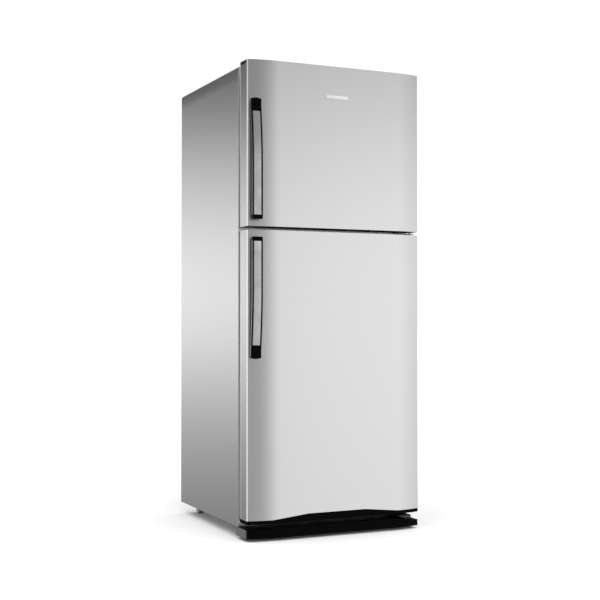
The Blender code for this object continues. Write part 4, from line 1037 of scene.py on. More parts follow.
@dataclass
class Handle:
    """A bar handle: black frame with a solid block at one end, and its brushed strip."""

    body: str
    bow: Bow
    block_up: bool
    block: float = 0.0455
    tip: float = 0.014
    rim: float = 0.0052
    plate: float = 0.007
    block_reach: float = 0.025
    bar_reach: float = 0.039
    strip_depth: float = 0.002
    rib_depth: float = 0.0065
    bead: tuple[float, float] = (0.0022, 0.0066)
    bead_width: float = 0.0020
    steps: int = 44

    def __post_init__(self) -> None:
        """Read the handle's place."""
        self.name = self.body.replace("_door", "_handle")
        self.low, self.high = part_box(self.name)
        self.middle = (self.low.x + self.high.x) / 2
        self.length = self.high.z - self.low.z

    def build(self) -> None:
        """Build the frame, the strip and the beads."""
        self.frame()
        self.strip()
        self.beads()
        LOG.info("%s: frame, strip and beads", self.name)

    def share(self, z: float) -> float:
        """Share of the length from the block's end at a height."""
        return (self.high.z - z if self.block_up else z - self.low.z) / self.length

    def reach(self, share: float) -> float:
        """How far the bar's face stands ahead of the door's corners at a share of its length."""
        start = self.block / self.length
        climb = min(1.0, max(0.0, (share - start * 0.6) / 0.48))
        return self.block_reach + (self.bar_reach - self.block_reach) * math.sin(climb * math.pi / 2)

    def front(self, z: float) -> float:
        """Y of the bar's face at a height."""
        return self.bow.edge - self.reach(self.share(z))

    def height(self, share: float) -> float:
        """Height at a share of the length."""
        return self.high.z - share * self.length if self.block_up else self.low.z + share * self.length

    def cuts(self, first: int = 1, last: int = 0) -> list[float]:
        """Heights of the cuts that let the bar bend, from a first step to a last one short of the end."""
        return [self.height(step / self.steps) for step in range(first, self.steps - last)]

    def bar(self, left: float, right: float, low: float, high: float, behind: float, depth: float,
            cuts: Sequence[float]) -> Shape:
        """Make a bar of a depth that follows the curve, its face a distance behind the handle's."""
        shape = Shape().block((left, 0.0, low), (right, 1.0, high)).slice(Axis.Z, cuts)
        return shape.move(lambda p: Vector((p.x, self.front(p.z) + behind + p.y * depth, p.z)))

    def frame(self) -> None:
        """Mould the frame: curved bar, recess for the strip, arched block end, block and leg."""
        begin, end = self.block / self.length, 1 - self.tip / self.length
        seam, groove = begin * 0.86, 0.003
        shape = Shape().block((self.low.x, 0.0, self.low.z), (self.high.x, 1.0, self.high.z))
        cuts = [self.low.x + self.rim, self.high.x - self.rim]
        shape.slice(Axis.X, cuts + [self.middle + shift for shift in (-0.010, -0.005, 0.0, 0.005, 0.010)])
        shape.slice(Axis.Z, self.cuts() + [self.height(share) for share in (begin, end, seam, seam - groove)])
        for start, stop, depth in ((begin, end, 0.30), (seam - groove, seam, 0.08)):
            shape.push(lambda c: c.y < TINY and cuts[0] < c.x < cuts[1] and start < self.share(c.z) < stop,
                       (0.0, depth, 0.0))
        half = (self.high.x - self.low.x) / 2
        sign = -1.0 if self.block_up else 1.0

        def bend(p: Vector) -> Vector:
            """Lay the straight bar along the handle's curve and arch its block end."""
            fall = 0.0036 * ((p.x - self.middle) / half) ** 2 * max(0.0, 1 - self.share(p.z) / 0.05)
            return Vector((self.middle + (p.x - self.middle) * 0.985, self.front(p.z) + p.y * self.plate,
                           p.z + sign * fall))
        rim_x = (self.low.x + TINY, self.high.x - TINY)
        shape.round(lambda a, b: upright(a, b) and not rim_x[0] < a.x < rim_x[1] and a.y < TINY, 0.0016, 3)
        shape.move(bend)
        shape.take(self.bar(self.low.x + 0.0022, self.high.x - 0.0022, self.low.z + 0.020,
                            self.high.z - 0.020, self.plate * 0.8, self.rib_depth, self.cuts()))
        for start, length, inset in ((0.004, self.block - 0.004, 0.0095),
                                     (self.length - 0.046, 0.020, 0.0115)):
            first, second = sorted((self.height(start / self.length),
                                    self.height((start + length) / self.length)))
            face = self.front((first + second) / 2) + self.plate * 0.7
            leg = Shape().block((self.low.x + inset, face, first), (self.high.x - inset, 0.0, second))
            leg.slice(Axis.X, [self.middle + shift for shift in (-0.008, 0.0, 0.008)])
            leg.slice(Axis.Y, [face + 0.006])
            leg.round(lambda a, b: level(a, b)
                      and (a.x < self.low.x + inset + TINY or a.x > self.high.x - inset - TINY)
                      and min(abs(a.z - first), abs(a.z - second)) < TINY, 0.0035, 4)
            leg.move(lambda p: Vector((p.x, self.bow.front(p.x, -AIR), p.z)) if p.y > -TINY else p)
            shape.take(leg)
        Piece(self.name + "_frame", BLACK_GLOSS, self.body, self.name, edge=0.0005).make(shape)

    def beads(self) -> None:
        """Lay a satin metal bead, lighter than the black frame, along each side of the bar: a painted
        highlight line on the bar's sides.
        """
        start, end = sorted((self.height(0.02), self.height(0.97)))
        face, back = self.bead
        shape = Shape()
        for left in (self.low.x, self.high.x - self.bead_width):
            shape.take(self.bar(left, left + self.bead_width, start, end, face, back - face, self.cuts(2, 1)))
        Piece(self.name + "_beads", HANDLE_HIGHLIGHT_BEAD, self.body, segments=3).make(shape)

    def strip(self) -> None:
        """Shape the slightly crowned brushed strip."""
        node = self.name + "_insert"
        low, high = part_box(node)
        half = (high.x - low.x) / 2
        shape = Shape().block((low.x, 0.0, low.z), (high.x, 1.0, high.z))
        shape.slice(Axis.X, [self.middle + half * quarter / 4 for quarter in range(-3, 4)])
        shape.slice(Axis.Z, [low.z + (high.z - low.z) * step / self.steps for step in range(1, self.steps)])
        shape.move(lambda p: Vector((p.x, self.front(p.z) + p.y * self.strip_depth + (
            0.0003 * ((p.x - self.middle) / half) ** 2 if p.y < 0.5 else 0.0), p.z)))
        Piece(self.name + "_strip", BRUSHED_INSERT, self.body, node, edge=0.0009).make(shape)


@dataclass
class Badge:
    """Plain bar on the upper door."""

    body: str = "freezer_door"

    def build(self) -> None:
        """Shape the bar: rounded ends, a raised field inside a fine border."""
        low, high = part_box("badge")
        shape = Shape().block(low, high)
        shape.round(level, 0.0035, 5)
        shape.inset(lambda c: c.y < low.y + TINY, 0.0012, 0.0)
        shape.inset(lambda c: c.y < low.y + TINY and abs(c.z - (low.z + high.z) / 2) < 0.001
                    and abs(c.x) < high.x - 0.004, 0.0004, -0.0004)
        Piece("badge_bar", BADGE_METAL, self.body, "badge", edge=0.0002).make(shape)
        LOG.info("badge bar")


@dataclass
class DoorBin:
    """A clear bin on a door's ledges."""

    node: str
    drop: float
    wall: float = 0.0022
    corner: float = 0.012
    foot: float = 0.006

    def build(self) -> None:
        """Mould the bin: rounded corners, a rim that falls towards the room, a front rail."""
        low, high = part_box(self.node)
        depth = high.y - low.y
        fall = (low.y + depth * 0.42, low.y + depth * 0.62)
        shape = open_box(low, high, self.wall, self.corner, self.foot,
                         lambda p: self.drop * slide(p.y, *fall))
        rail = high.z - self.drop
        shape.take(shaped((low.x + self.corner, high.y - self.wall - 0.003, rail - 0.010),
                          (high.x - self.corner, high.y - self.wall * 0.5, rail - 0.002), 0.0012))
        for share in (-0.5, 0.0, 0.5):
            x = high.x * share
            shape.take(shaped((x - 0.001, low.y + self.wall, low.z + self.wall * 0.5),
                              (x + 0.001, high.y - self.wall, low.z + self.wall + 0.004), 0.0006, 1))
        Piece(self.node + "_moulding", CLEAR, self.node, self.node, edge=0.0005).make(shape)
        LOG.info("%s", self.node)


@dataclass
class DairyBin:
    """The covered bin with its swinging lid."""

    wall: float = 0.0022
    lid_wall: float = 0.0025
    pivot_radius: float = 0.003

    def build(self) -> None:
        """Mould the bin with its lugs, and the curved lid with its pivots and grip."""
        low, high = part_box("dairy_bin")
        lid_low, lid_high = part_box("dairy_lid")
        pivot_y, pivot_z = lid_low.y + 0.003, lid_high.z - 0.003
        rim = pivot_z - 0.050
        shape = open_box(low, Vector((high.x, high.y, rim)), self.wall, 0.010, 0.006)
        shape.pair(high.x - 0.0036, high.x, (low.y, rim - 0.010), (pivot_y + 0.008, high.z), 0.0012)
        Piece("dairy_bin_moulding", CLEAR, "dairy_bin", "dairy_bin", edge=0.0005).make(shape)
        side = lid_high.x - 0.001
        lid = Shape().block((-side, lid_low.y, lid_low.z), (side, lid_high.y, lid_high.z))
        lid.drop(lambda c: c.y < lid_low.y + TINY or c.z < lid_low.z + TINY or abs(c.x) > side - TINY)
        lid.round(lambda a, b: min(a.z, b.z) > lid_high.z - TINY and min(a.y, b.y) > lid_high.y - TINY,
                  0.022, 8)
        lid.thicken(self.lid_wall)
        lid.take(shaped((-0.060, lid_high.y - 0.006, lid_low.z + 0.004),
                        (0.060, lid_high.y - self.lid_wall * 0.5, lid_low.z + 0.007), 0.0008))
        lid.rod((0.0, pivot_y, pivot_z), Axis.X, 2 * lid_high.x, self.pivot_radius, sides=20)
        Piece("dairy_lid_moulding", CLEAR, "dairy_lid", "dairy_lid", edge=0.0005).make(lid)
        LOG.info("dairy bin and lid")


# ---------------- cabinet
def room_holes() -> list[Hole]:
    """Outlines of the two rooms in the cabinet's front."""
    return [(low.x, high.x, low.z, high.z) for low, high in map(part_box, ("freezer_liner", "fridge_liner"))]


@dataclass
class Cabinet:
    """The cabinet's outside: wrap, rear panel, floor plate, kick panel, feet and rollers."""

    bow: Bow
    sheet: float = 0.001
    corner: float = 0.006
    panel_depth: float = 0.005
    rim: float = 0.022
    rim_depth: float = 0.0037
    rows: int = 5
    border: float = 0.045
    bridge: float = 0.030
    pressing: tuple[tuple[float, float], ...] = ((0.006, -0.0024), (0.040, 0.0), (0.005, 0.0016))
    screw_start: float = 0.030
    toe: float = 0.0055
    end_plate: float = 0.0006
    relief: tuple[float, float] = (0.2715, 0.2755)
    relief_depth: float = 0.0125
    body: str = "cabinet"

    def build(self) -> None:
        """Build every outside piece."""
        self.wrap()
        self.rear_panel()
        self.floor_plate()
        self.kick_panel()
        for side in ("left", "right"):
            self.foot(side + "_foot")
            self.roller(side + "_roller")
        LOG.info("cabinet: wrap, rear panel, floor plate, kick panel, feet, rollers")

    def wrap(self) -> None:
        """Fold the steel wrap with its front flange and rounded upper corners."""
        low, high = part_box("outer_case")
        shape = Shape().block(low, high)
        shape.round(lambda a, b: min(a.z, b.z) > high.z - TINY and abs(a.y - b.y) > TINY, self.corner, 6)
        shape.drop(lambda c: c.z < low.z + TINY or c.y > high.y - TINY)
        slots(shape, room_holes(), lambda c: c.y < low.y + TINY)
        shape.thicken(self.sheet)
        Piece("cabinet_wrap", CASE_SILVER, self.body, "outer_case", edge=0.00035).make(shape)

    def rear_panel(self) -> None:
        """Press the rear panel with its stiffening fields and drive its screws."""
        low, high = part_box("back_panel")
        high.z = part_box("outer_case")[1].z - self.sheet - AIR
        front = high.y - self.panel_depth
        flange = high.y - self.rim_depth
        border, bridge = self.border, self.bridge
        shape = Shape().block((low.x, front, low.z), (high.x, flange, high.z))
        shape.round(lambda a, b: min(a.z, b.z) > high.z - TINY and level(a, b),
                    self.corner - self.sheet, 4)
        inner = Vector((high.x - self.rim, 0.0, high.z - self.rim))
        shape.slice(Axis.X, (-inner.x, inner.x)).slice(Axis.Z, (low.z + self.rim, inner.z))
        shape.push(lambda c: c.y > flange - TINY and abs(c.x) < inner.x and low.z + self.rim < c.z < inner.z,
                   (0.0, self.rim_depth, 0.0))
        columns = [(low.x + border, -bridge / 2), (bridge / 2, high.x - border)]
        pitch = (high.z - low.z - 2 * border + bridge) / self.rows
        lines = [(low.z + border + row * pitch, low.z + border + (row + 1) * pitch - bridge)
                 for row in range(self.rows)]
        shape.slice(Axis.X, [x for column in columns for x in column])
        shape.slice(Axis.Z, [z for line in lines for z in line])
        for left, right in columns:
            for bottom, top in lines:
                def field(c: Vector) -> bool:
                    """Whether a point is in this field."""
                    return c.y > high.y - TINY and left < c.x < right and bottom < c.z < top
                for width, rise in self.pressing:
                    shape.inset(field, width, rise)
        Piece("rear_panel", GREY_PAINT, self.body, "back_panel", edge=0.0006, segments=2,
              crease=12.0).make(shape)
        side, reach = high.x - self.rim / 2, high.z - low.z - 2 * self.screw_start
        spots = [(turn * side, low.z + self.screw_start + reach * step / 6)
                 for step in range(7) for turn in (-1, 1)]
        spots += [(x, z) for x in (-0.16, 0.0, 0.16) for z in (low.z + self.rim / 2, high.z - self.rim / 2)]
        screws = Shape()
        for x, z in spots:
            add_screw(screws, (x, flange, z), Axis.Y.way)
        Piece("rear_screws", ZINC, self.body, edge=0.0).make(screws)
        foam = Shape().node("foam_insulation")
        foam.move(lambda p: Vector((p.x, front - AIR, p.z)) if p.y > front - AIR else p)
        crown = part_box("foam_insulation")[1].z
        foam.round(lambda a, b: min(a.z, b.z) > crown - TINY and abs(a.x - b.x) < TINY
                   and abs(a.x) > high.x - TINY, self.corner, 4)
        Piece("cabinet_core", FOAM, self.body, "foam_insulation", edge=0.0).make(foam)

    def floor_plate(self) -> None:
        """Round the floor plate's edges and add its screws."""
        low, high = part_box("base_plate")
        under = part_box("outer_case")[0].z
        shape = Shape().node("base_plate")
        for x in (low.x + 0.020, 0.0, high.x - 0.020):
            for y in (low.y + 0.030, high.y - 0.030):
                add_screw(shape, (x, y, under), -Axis.Z.way)
        Piece("floor_plate", ZINC, self.body, "base_plate", edge=0.0003).make(shape)

    def kick_panel(self) -> None:
        """Mould the bowed kick panel: open behind and below, soft upper edge."""
        low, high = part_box("plinth")
        bottom = low.z + self.toe
        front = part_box("outer_case")[0].y
        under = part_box("outer_case")[0].z - AIR
        shape = self.bow.body(bottom, high.z, high.y, self.end_plate)
        shape.slice(Axis.Y, (front - 0.0015, front - 0.0010))
        shape.drop(lambda c: c.z < bottom + TINY or c.y > high.y - TINY)
        shape.drop(lambda c: c.z > high.z - TINY and c.y > front - 0.0015)
        shape.slice(Axis.X, self.relief)
        shape.round(lambda a, b: min(a.z, b.z) > high.z - TINY
                    and max(a.y - self.bow.front(a.x), b.y - self.bow.front(b.x)) < 0.0016
                    and max(a.y, b.y) < self.bow.edge + 0.006, 0.0030, 4)
        shape.move(lambda p: Vector((p.x, p.y, under)) if p.z > under and p.y > front - 0.0012 else p)

        def relieve(p: Vector) -> Vector:
            """Lower the upper edge under the lower hinge."""
            fall = self.relief_depth * slide(p.x, *self.relief) if p.z > high.z - 0.006 else 0.0
            return Vector((p.x, p.y, p.z - fall))
        shape.move(relieve)
        shape.thicken(0.0028)
        Piece("kick_panel", BLACK_MATTE, self.body, "plinth", edge=0.0008).make(shape)
        # Thin grey plates on both side faces paint the sheen of the black kick panel's sides.
        ends = Shape()
        for turn in (-1, 1):
            near, far = sorted((turn * (high.x - self.end_plate - 0.0002), turn * high.x))
            top = high.z - 0.0025 - (self.relief_depth if turn > 0 else 0.0)
            ends.take(shaped((near, self.bow.edge + self.bow.corner, bottom + 0.0008),
                             (far, high.y - 0.001, top), 0.0002, 1))
        Piece("kick_panel_ends", KICK_END_SHEEN, self.body, edge=0.0).make(ends)

    def foot(self, node: str) -> None:
        """Turn a levelling foot: ribbed pad, hexagon collar, threaded stud.

        Args:
            node: the foot's node and body.
        """
        low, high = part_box(node)
        middle = middle_of(node)
        centre = (middle.x, middle.y, 0.0)
        radius = (high.x - low.x) / 2
        pad = [(0.0, low.z), (radius - 0.002, low.z), (radius, low.z + 0.0015), (radius, low.z + 0.003),
               (radius - 0.001, low.z + 0.0036), (radius, low.z + 0.0042), (radius, low.z + 0.006),
               (radius - 0.0012, low.z + 0.0066), (radius - 0.0008, low.z + 0.008),
               (radius - 0.003, low.z + 0.0098), (0.008, low.z + 0.010), (0.0, low.z + 0.010)]
        Piece(node + "_pad", RUBBER, node, node, edge=0.0).make(Shape().lathe(pad, centre, Axis.Z, 48))
        base = low.z + 0.0096
        stud = [(0.0, base)]
        turns = 14
        for turn in range(turns):
            start = base + (high.z - base) * turn / turns
            pitch = (high.z - base) / turns
            stud += [(0.0042, start), (0.0050, start + pitch / 2)]
        stud += [(0.0040, high.z), (0.0, high.z)]
        shape = Shape().lathe(stud, centre, Axis.Z, 24)
        shape.rod((middle.x, middle.y, base + 0.0024), Axis.Z, 0.0040, 0.0085, sides=6)
        Piece(node + "_stud", ZINC, node, edge=0.0).make(shape)

    def roller(self, node: str) -> None:
        """Turn a rear roller with its tyre, web and hub.

        Args:
            node: the roller's node and body.
        """
        low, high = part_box(node)
        radius, half, bore = (high.z - low.z) / 2, (high.x - low.x) / 2, 0.0045
        face = [(bore, -half), (0.0075, -half), (0.0085, -half + 0.003), (0.0105, -half + 0.003),
                (0.0120, -half + 0.0004), (radius - 0.0014, -half), (radius, -half + 0.0014),
                (radius, -0.0012)]
        ring = face + [(radius - 0.0008, 0.0)] + [(r, -h) for r, h in face[::-1]]
        Piece(node + "_wheel", DARK_GREY, node, node, edge=0.0003).make(
            Shape().lathe(ring, middle_of(node), Axis.X, 48, bored=True))


@dataclass
class Hinges:
    """The three hinges and the upper one's cover."""

    body: str = "cabinet"
    cover_wall: float = 0.0018
    stand: float = 0.0142
    stand_inset: float = 0.0115

    def build(self) -> None:
        """Build the hinges, their screws and the cover."""
        top_low, top_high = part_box("top_hinge")
        leaf_x = (top_low.x + 0.010, top_high.x - 0.010)
        foot = top_low.z + 0.003
        spots = {
            "top_hinge": [((x, top_high.y - back, foot), Axis.Z.way)
                          for x in leaf_x for back in (0.016, 0.050)],
            "middle_hinge": self.leaf_screws("middle_hinge", 0.0),
            "bottom_hinge": self.leaf_screws("bottom_hinge", -0.001),
        }
        for node, screws in spots.items():
            shape = Shape().node(node)
            for centre, way in screws:
                add_screw(shape, centre, way, 0.0042)
            if node == "bottom_hinge":
                low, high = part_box(node)
                shape.take(shaped((low.x + self.stand_inset, low.y + 0.003, low.z - self.stand),
                                  (high.x - self.stand_inset, high.y - 0.004, low.z + 0.001), 0.002))
            # The lower hinge takes the near-black copy of the zinc: painted shade.
            finish = HINGE_SHADED if node == "bottom_hinge" else ZINC
            Piece(node + "_plate", finish, self.body, node, edge=0.0005).make(shape)
        self.cover()
        LOG.info("hinges and cover")

    @staticmethod
    def leaf_screws(node: str, lift: float) -> list[tuple[Point, Vector]]:
        """Place and way of each screw in an upright hinge leaf, a lift above its middle."""
        left, face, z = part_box(node)[0].x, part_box(node)[1].y - 0.003, middle_of(node).z + lift
        return [((left + shift, face, z), -Axis.Y.way) for shift in (0.009, 0.021)]

    def cover(self) -> None:
        """Mould the upper hinge's cover, stepped over the door."""
        low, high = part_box("top_hinge_cover")
        door_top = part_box("freezer_door_top_cap")[1].z + 2 * AIR
        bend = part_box("outer_case")[0].y + 0.002
        shape = Shape().block(low, high)
        shape.slice(Axis.Y, (bend - 0.0005, bend))
        shape.drop(lambda c: c.z < low.z + TINY)
        shape.move(lambda p: Vector((p.x, p.y, door_top)) if p.z < door_top and p.y < bend - TINY else p)
        shape.round(upright, 0.006, 5)
        shape.soften(lambda c: c.z > high.z - TINY, 0.0022, 4)
        shape.thicken(self.cover_wall)
        Piece("top_hinge_cap", GREY_PAINT_PLASTIC, self.body, "top_hinge_cover", edge=0.0004).make(shape)


# ---------------- machinery
@dataclass
class Machinery:
    """Compressor room: compressor with its pipes, drip tray, louvred cover and cord gland."""

    louvre: float = 0.0055
    body: str = "cabinet"

    def build(self) -> None:
        """Build every piece of the compressor room."""
        self.compressor()
        self.tray()
        self.cover()
        LOG.info("machinery: compressor, pipes, drip tray, cover, gland")

    def compressor(self) -> None:
        """Form the welded can, its foot plate with mounts, terminal box and pipes."""
        low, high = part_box("compressor")
        y = middle_of("compressor").y
        x = low.x + 0.085
        radius = 0.062
        top = high.z
        outline = [(0.0, low.z + 0.004), (radius - 0.010, low.z + 0.004), (radius, low.z + 0.016),
                   (radius, low.z + 0.072), (radius + 0.003, low.z + 0.073), (radius + 0.003, low.z + 0.077),
                   (radius, low.z + 0.078), (radius, top - 0.030), (radius * 0.93, top - 0.016),
                   (radius * 0.74, top - 0.006), (radius * 0.40, top - 0.001), (0.0, top)]
        shape = Shape().lathe(outline, (x, y, 0.0), Axis.Z, 64)
        shape.take(shaped((x - 0.085, low.y, low.z + 0.003), (x + 0.085, high.y, low.z + 0.006), 0.001, 2))
        shape.take(shaped((x - 0.030, y - radius - 0.022, low.z + 0.030),
                          (x + 0.030, y - radius + 0.006, low.z + 0.078), 0.004, 3))
        Piece("compressor_can", COMPRESSOR, self.body, "compressor", edge=0.0006).make(shape)
        mounts = Shape()
        grommet = [(0.0, low.z), (0.010, low.z), (0.010, low.z + 0.0028), (0.008, low.z + 0.0040),
                   (0.010, low.z + 0.0060), (0.009, low.z + 0.0110), (0.0, low.z + 0.0115)]
        for across in (-0.072, 0.072):
            for along_y in (-0.038, 0.038):
                mounts.lathe(grommet, (x + across, y + along_y, 0.0), Axis.Z, 24)
        Piece("compressor_mounts", RUBBER, self.body, edge=0.0003).make(mounts)
        pipes = Shape()
        start = x + radius - 0.006
        z = low.z + 0.085
        for lift, reach, size in ((0.0, 0.045, 0.0040), (-0.030, 0.030, 0.0030)):
            turn, base, bow = start + reach * 0.6, z + lift, 0.014
            bend = [(start, y, base), (turn, y, base)]
            bend += [(turn + bow * math.sin(angle), y, base + bow * (1 - math.cos(angle)))
                     for angle in (step * math.pi / 12 for step in range(1, 7))]
            bend += [(turn + bow, y + back, base + rise)
                     for back, rise in ((0.0, 0.040), (-0.030, 0.070), (-0.070, 0.078))]
            pipes.tube(bend, size, 14)
        drier = [(0.0, -0.055), (0.0035, -0.055), (0.0045, -0.044), (0.009, -0.038), (0.009, 0.038),
                 (0.0045, 0.044), (0.0035, 0.055), (0.0, 0.055)]
        pipes.lathe(drier, (x + 0.160, y - 0.030, low.z + 0.070), Axis.Z, 28)
        Piece("machine_pipes", COPPER, self.body, edge=0.0).make(pipes)

    def tray(self) -> None:
        """Mould the drip tray."""
        low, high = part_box("drip_tray")
        Piece("drip_tray_moulding", BLACK_MATTE, self.body, "drip_tray", edge=0.0006).make(
            open_box(low, high, 0.0022, 0.014, 0.006))

    def cover(self) -> None:
        """Press the louvred cover, drive its screws and set the gland in its hole."""
        low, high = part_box("compressor_cover")
        gland_low, gland_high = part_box("cord_inlet")
        holes = [(x - 0.060, x + 0.060, z, z + 0.005) for x in (-0.200, -0.040, 0.120)
                 for z in (0.095, 0.120, 0.145, 0.170, 0.195)]
        x, z = middle_of("cord_inlet").xz
        bore = 0.009
        shape = slots(sheet(low, high), holes + [(x - bore, x + bore, z - bore, z + bore)])
        shape.thicken(high.y - low.y)
        for hole in holes:
            left, right, top = hole[0], hole[1], hole[3]
            lip = Shape().block((left - 0.004, high.y - 0.0006, top - 0.001),
                                (right + 0.004, high.y + 0.0006, top + 0.007))
            lip.move(lambda p: Vector((p.x, p.y + self.louvre * (top + 0.007 - p.z) / 0.008
                                       * (1.0 if p.y > high.y else 0.82), p.z)))
            shape.take(lip)
        for screw_x in (low.x + 0.014, -0.120, 0.040, high.x - 0.014):
            for screw_z in (low.z + 0.014, high.z - 0.014):
                add_screw(shape, (screw_x, high.y, screw_z), Axis.Y.way, 0.0050)
        Piece("machine_cover", ZINC, self.body, "compressor_cover", edge=0.0003).make(shape)
        radius = (gland_high.x - gland_low.x) / 2
        start, end = gland_low.y - high.y, gland_high.y - high.y
        ring = [(0.0042, start), (radius - 0.002, start), (radius - 0.001, -0.003), (radius - 0.0025, -0.002),
                (radius - 0.0025, 0.0), (radius, 0.0006), (radius, 0.003), (radius - 0.002, 0.0045),
                (0.0062, end - 0.003), (0.0058, end), (0.0042, end)]
        Piece("cord_gland", RUBBER, self.body, "cord_inlet", edge=0.0003).make(
            Shape().lathe(ring, (x, high.y, z), Axis.Y, 40, bored=True))


@dataclass
class ColdCircuit:
    """Behind the freezer's inner wall: finned coil, fan and its motor, and the wall itself."""

    fins: int = 58
    fin: float = 0.0004
    body: str = "cabinet"

    def build(self) -> None:
        """Build the coil, the fan, the motor and the inner wall."""
        self.coil()
        self.fan()
        self.wall()
        LOG.info("cold circuit: coil, fan, motor, inner wall")

    def coil(self) -> None:
        """Stack the fins on a serpentine of pipe."""
        low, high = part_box("evaporator")
        shape = Shape()
        for index in range(self.fins):
            x = low.x + 0.012 + (high.x - low.x - 0.024) * index / (self.fins - 1)
            shape.block((x - self.fin / 2, low.y + 0.004, low.z + 0.006),
                        (x + self.fin / 2, high.y - 0.004, high.z - 0.006))
        Piece("evaporator_fins", ALUMINIUM, self.body, "evaporator", edge=0.0).make(shape)
        pipes = Shape()
        rows = 7
        pitch = (high.z - low.z - 0.040) / (rows - 1)
        for y in (low.y + 0.014, high.y - 0.014):
            path = []
            for row in range(rows):
                z = low.z + 0.020 + row * pitch
                ends = (low.x + 0.006, high.x - 0.006)
                first, second = ends if row % 2 == 0 else ends[::-1]
                path += [(first, y, z), (second, y, z)]
                if row < rows - 1:
                    way = math.copysign(0.004, second)
                    path += [(second + way, y, z + pitch * 0.3), (second + way, y, z + pitch * 0.7)]
            pipes.tube(path, 0.0038, 8)
        Piece("evaporator_pipes", ALUMINIUM, self.body, edge=0.0, crease=50.0).make(pipes)

    def fan(self) -> None:
        """Round the fan's and the motor's edges."""
        Piece("fan_wheel", DARK_GREY, "fan", "fan_blade").make(Shape().node("fan_blade"))
        Piece("fan_motor_can", ZINC, self.body, "fan_motor", edge=0.0006).make(Shape().node("fan_motor"))

    def wall(self) -> None:
        """Mould the inner wall: raised outlet field, grille bars, return slots, screws' caps."""
        low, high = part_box("evaporator_cover")
        fan_low, fan_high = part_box("fan_blade")
        middle = (fan_low.z + fan_high.z) / 2
        holes = [(-0.060, 0.060, middle + 0.014 * row - 0.004, middle + 0.014 * row + 0.004)
                 for row in range(-3, 4)]
        holes += [(x - 0.055, x + 0.055, low.z + 0.014, low.z + 0.022) for x in (-0.14, 0.0, 0.14)]
        shape = sheet(low, high)
        shape.slice(Axis.X, (-0.090, 0.090)).slice(Axis.Z, (middle - 0.066, middle + 0.066))
        shape.push(lambda c: abs(c.x) < 0.090 and abs(c.z - middle) < 0.066, (0.0, -0.005, 0.0))
        slots(shape, holes)
        shape.thicken(high.y - low.y)
        for x in (-0.23, 0.23):
            for z in (low.z + 0.060, high.z - 0.060):
                cap = [(0.0, -0.001), (0.007, -0.001), (0.007, 0.0008), (0.005, 0.0020), (0.0, 0.0024)]
                shape.lathe([(r, -h) for r, h in cap], (x, low.y, z), Axis.Y, 24)
        Piece("freezer_inner_wall", WHITE, self.body, "evaporator_cover", edge=0.0008).make(shape)


# ---------------- rooms
GLASS_LIFT = 0.012            # height of a shelf's glass over the lower edge of its trims


@dataclass
class Rooms:
    """The linings of the two rooms."""

    skin: float = 0.002
    corner: float = 0.008
    ledge: float = 0.009
    ledge_height: float = 0.006
    spare_ledge: float = 0.006
    spare_seats: tuple[float, ...] = (0.455, 0.510, 0.625, 0.685, 0.735, 0.950)
    body: str = "cabinet"

    def build(self) -> None:
        """Mould both linings."""
        self.freezer()
        self.fresh()
        LOG.info("rooms: freezer and fresh food linings")

    def shell(self, low: Vector, high: Vector) -> tuple[Vector, Vector]:
        """Corners of the air inside a lining, flush with its front edge, from its outer corners."""
        grow = Vector((self.skin, 0.0, self.skin))
        return low + grow, high - grow - Vector((0.0, self.skin, 0.0))

    def ledges(self, shape: Shape, half: float, seat: float, front: float, back: float, reach: float) -> None:
        """Add a pair of ledges under a seat height, from front to back, reaching into the room."""
        shape.pair(half - reach, half + self.skin / 2, (front, seat - AIR - self.ledge_height),
                   (back, seat - AIR), 0.0018)

    def freezer(self) -> None:
        """Mould the freezer's lining with soft corners."""
        low, high = self.shell(*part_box("freezer_liner"))
        shape = Shape().block(low, high)
        shape.drop(lambda c: c.y < low.y + TINY)
        shape.round(lambda a, b: max(a.y, b.y) > low.y + TINY, self.corner, 4)
        shape.thicken(-(self.skin - AIR))
        shelf_low, shelf_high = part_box("freezer_shelf")
        self.ledges(shape, high.x, shelf_low.z + 0.010, shelf_low.y, shelf_high.y + 0.002, self.ledge)
        Piece("freezer_room", WHITE, self.body, "freezer_liner", edge=0.0008).make(shape)

    def fresh(self) -> None:
        """Mould the fresh food lining with its step, soft corners and rows of ledges."""
        low, high = self.shell(*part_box("fridge_liner"))
        step_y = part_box("crisper_drawer")[1].y + 0.008
        step_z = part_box("back_panel")[0].z - AIR + 0.045
        shape = Shape().block(low, (high.x, step_y, high.z))
        shape.slice(Axis.Z, [step_z])
        shape.push(lambda c: c.y > step_y - TINY and c.z > step_z, (0.0, high.y - step_y, 0.0))
        shape.drop(lambda c: c.y < low.y + TINY)
        shape.round(lambda a, b: max(a.y, b.y) > low.y + TINY and not (
            max(a.z, b.z) < step_z + TINY and min(a.z, b.z) > step_z - TINY and abs(a.x - b.x) < TINY
            and max(a.y, b.y) < step_y + TINY), self.corner, 4)
        shape.thicken(-(self.skin - AIR))
        shelf_low, shelf_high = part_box("upper_shelf")
        for node in ("upper_shelf", "lower_shelf", "crisper_cover"):
            self.ledges(shape, high.x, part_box(node)[0].z + GLASS_LIFT, shelf_low.y, shelf_high.y, self.ledge)
        for seat in self.spare_seats:
            self.ledges(shape, high.x, seat, shelf_low.y + 0.020, shelf_high.y - 0.030,
                        self.spare_ledge)
        Piece("fresh_room", WHITE, self.body, "fridge_liner", edge=0.0008).make(shape)


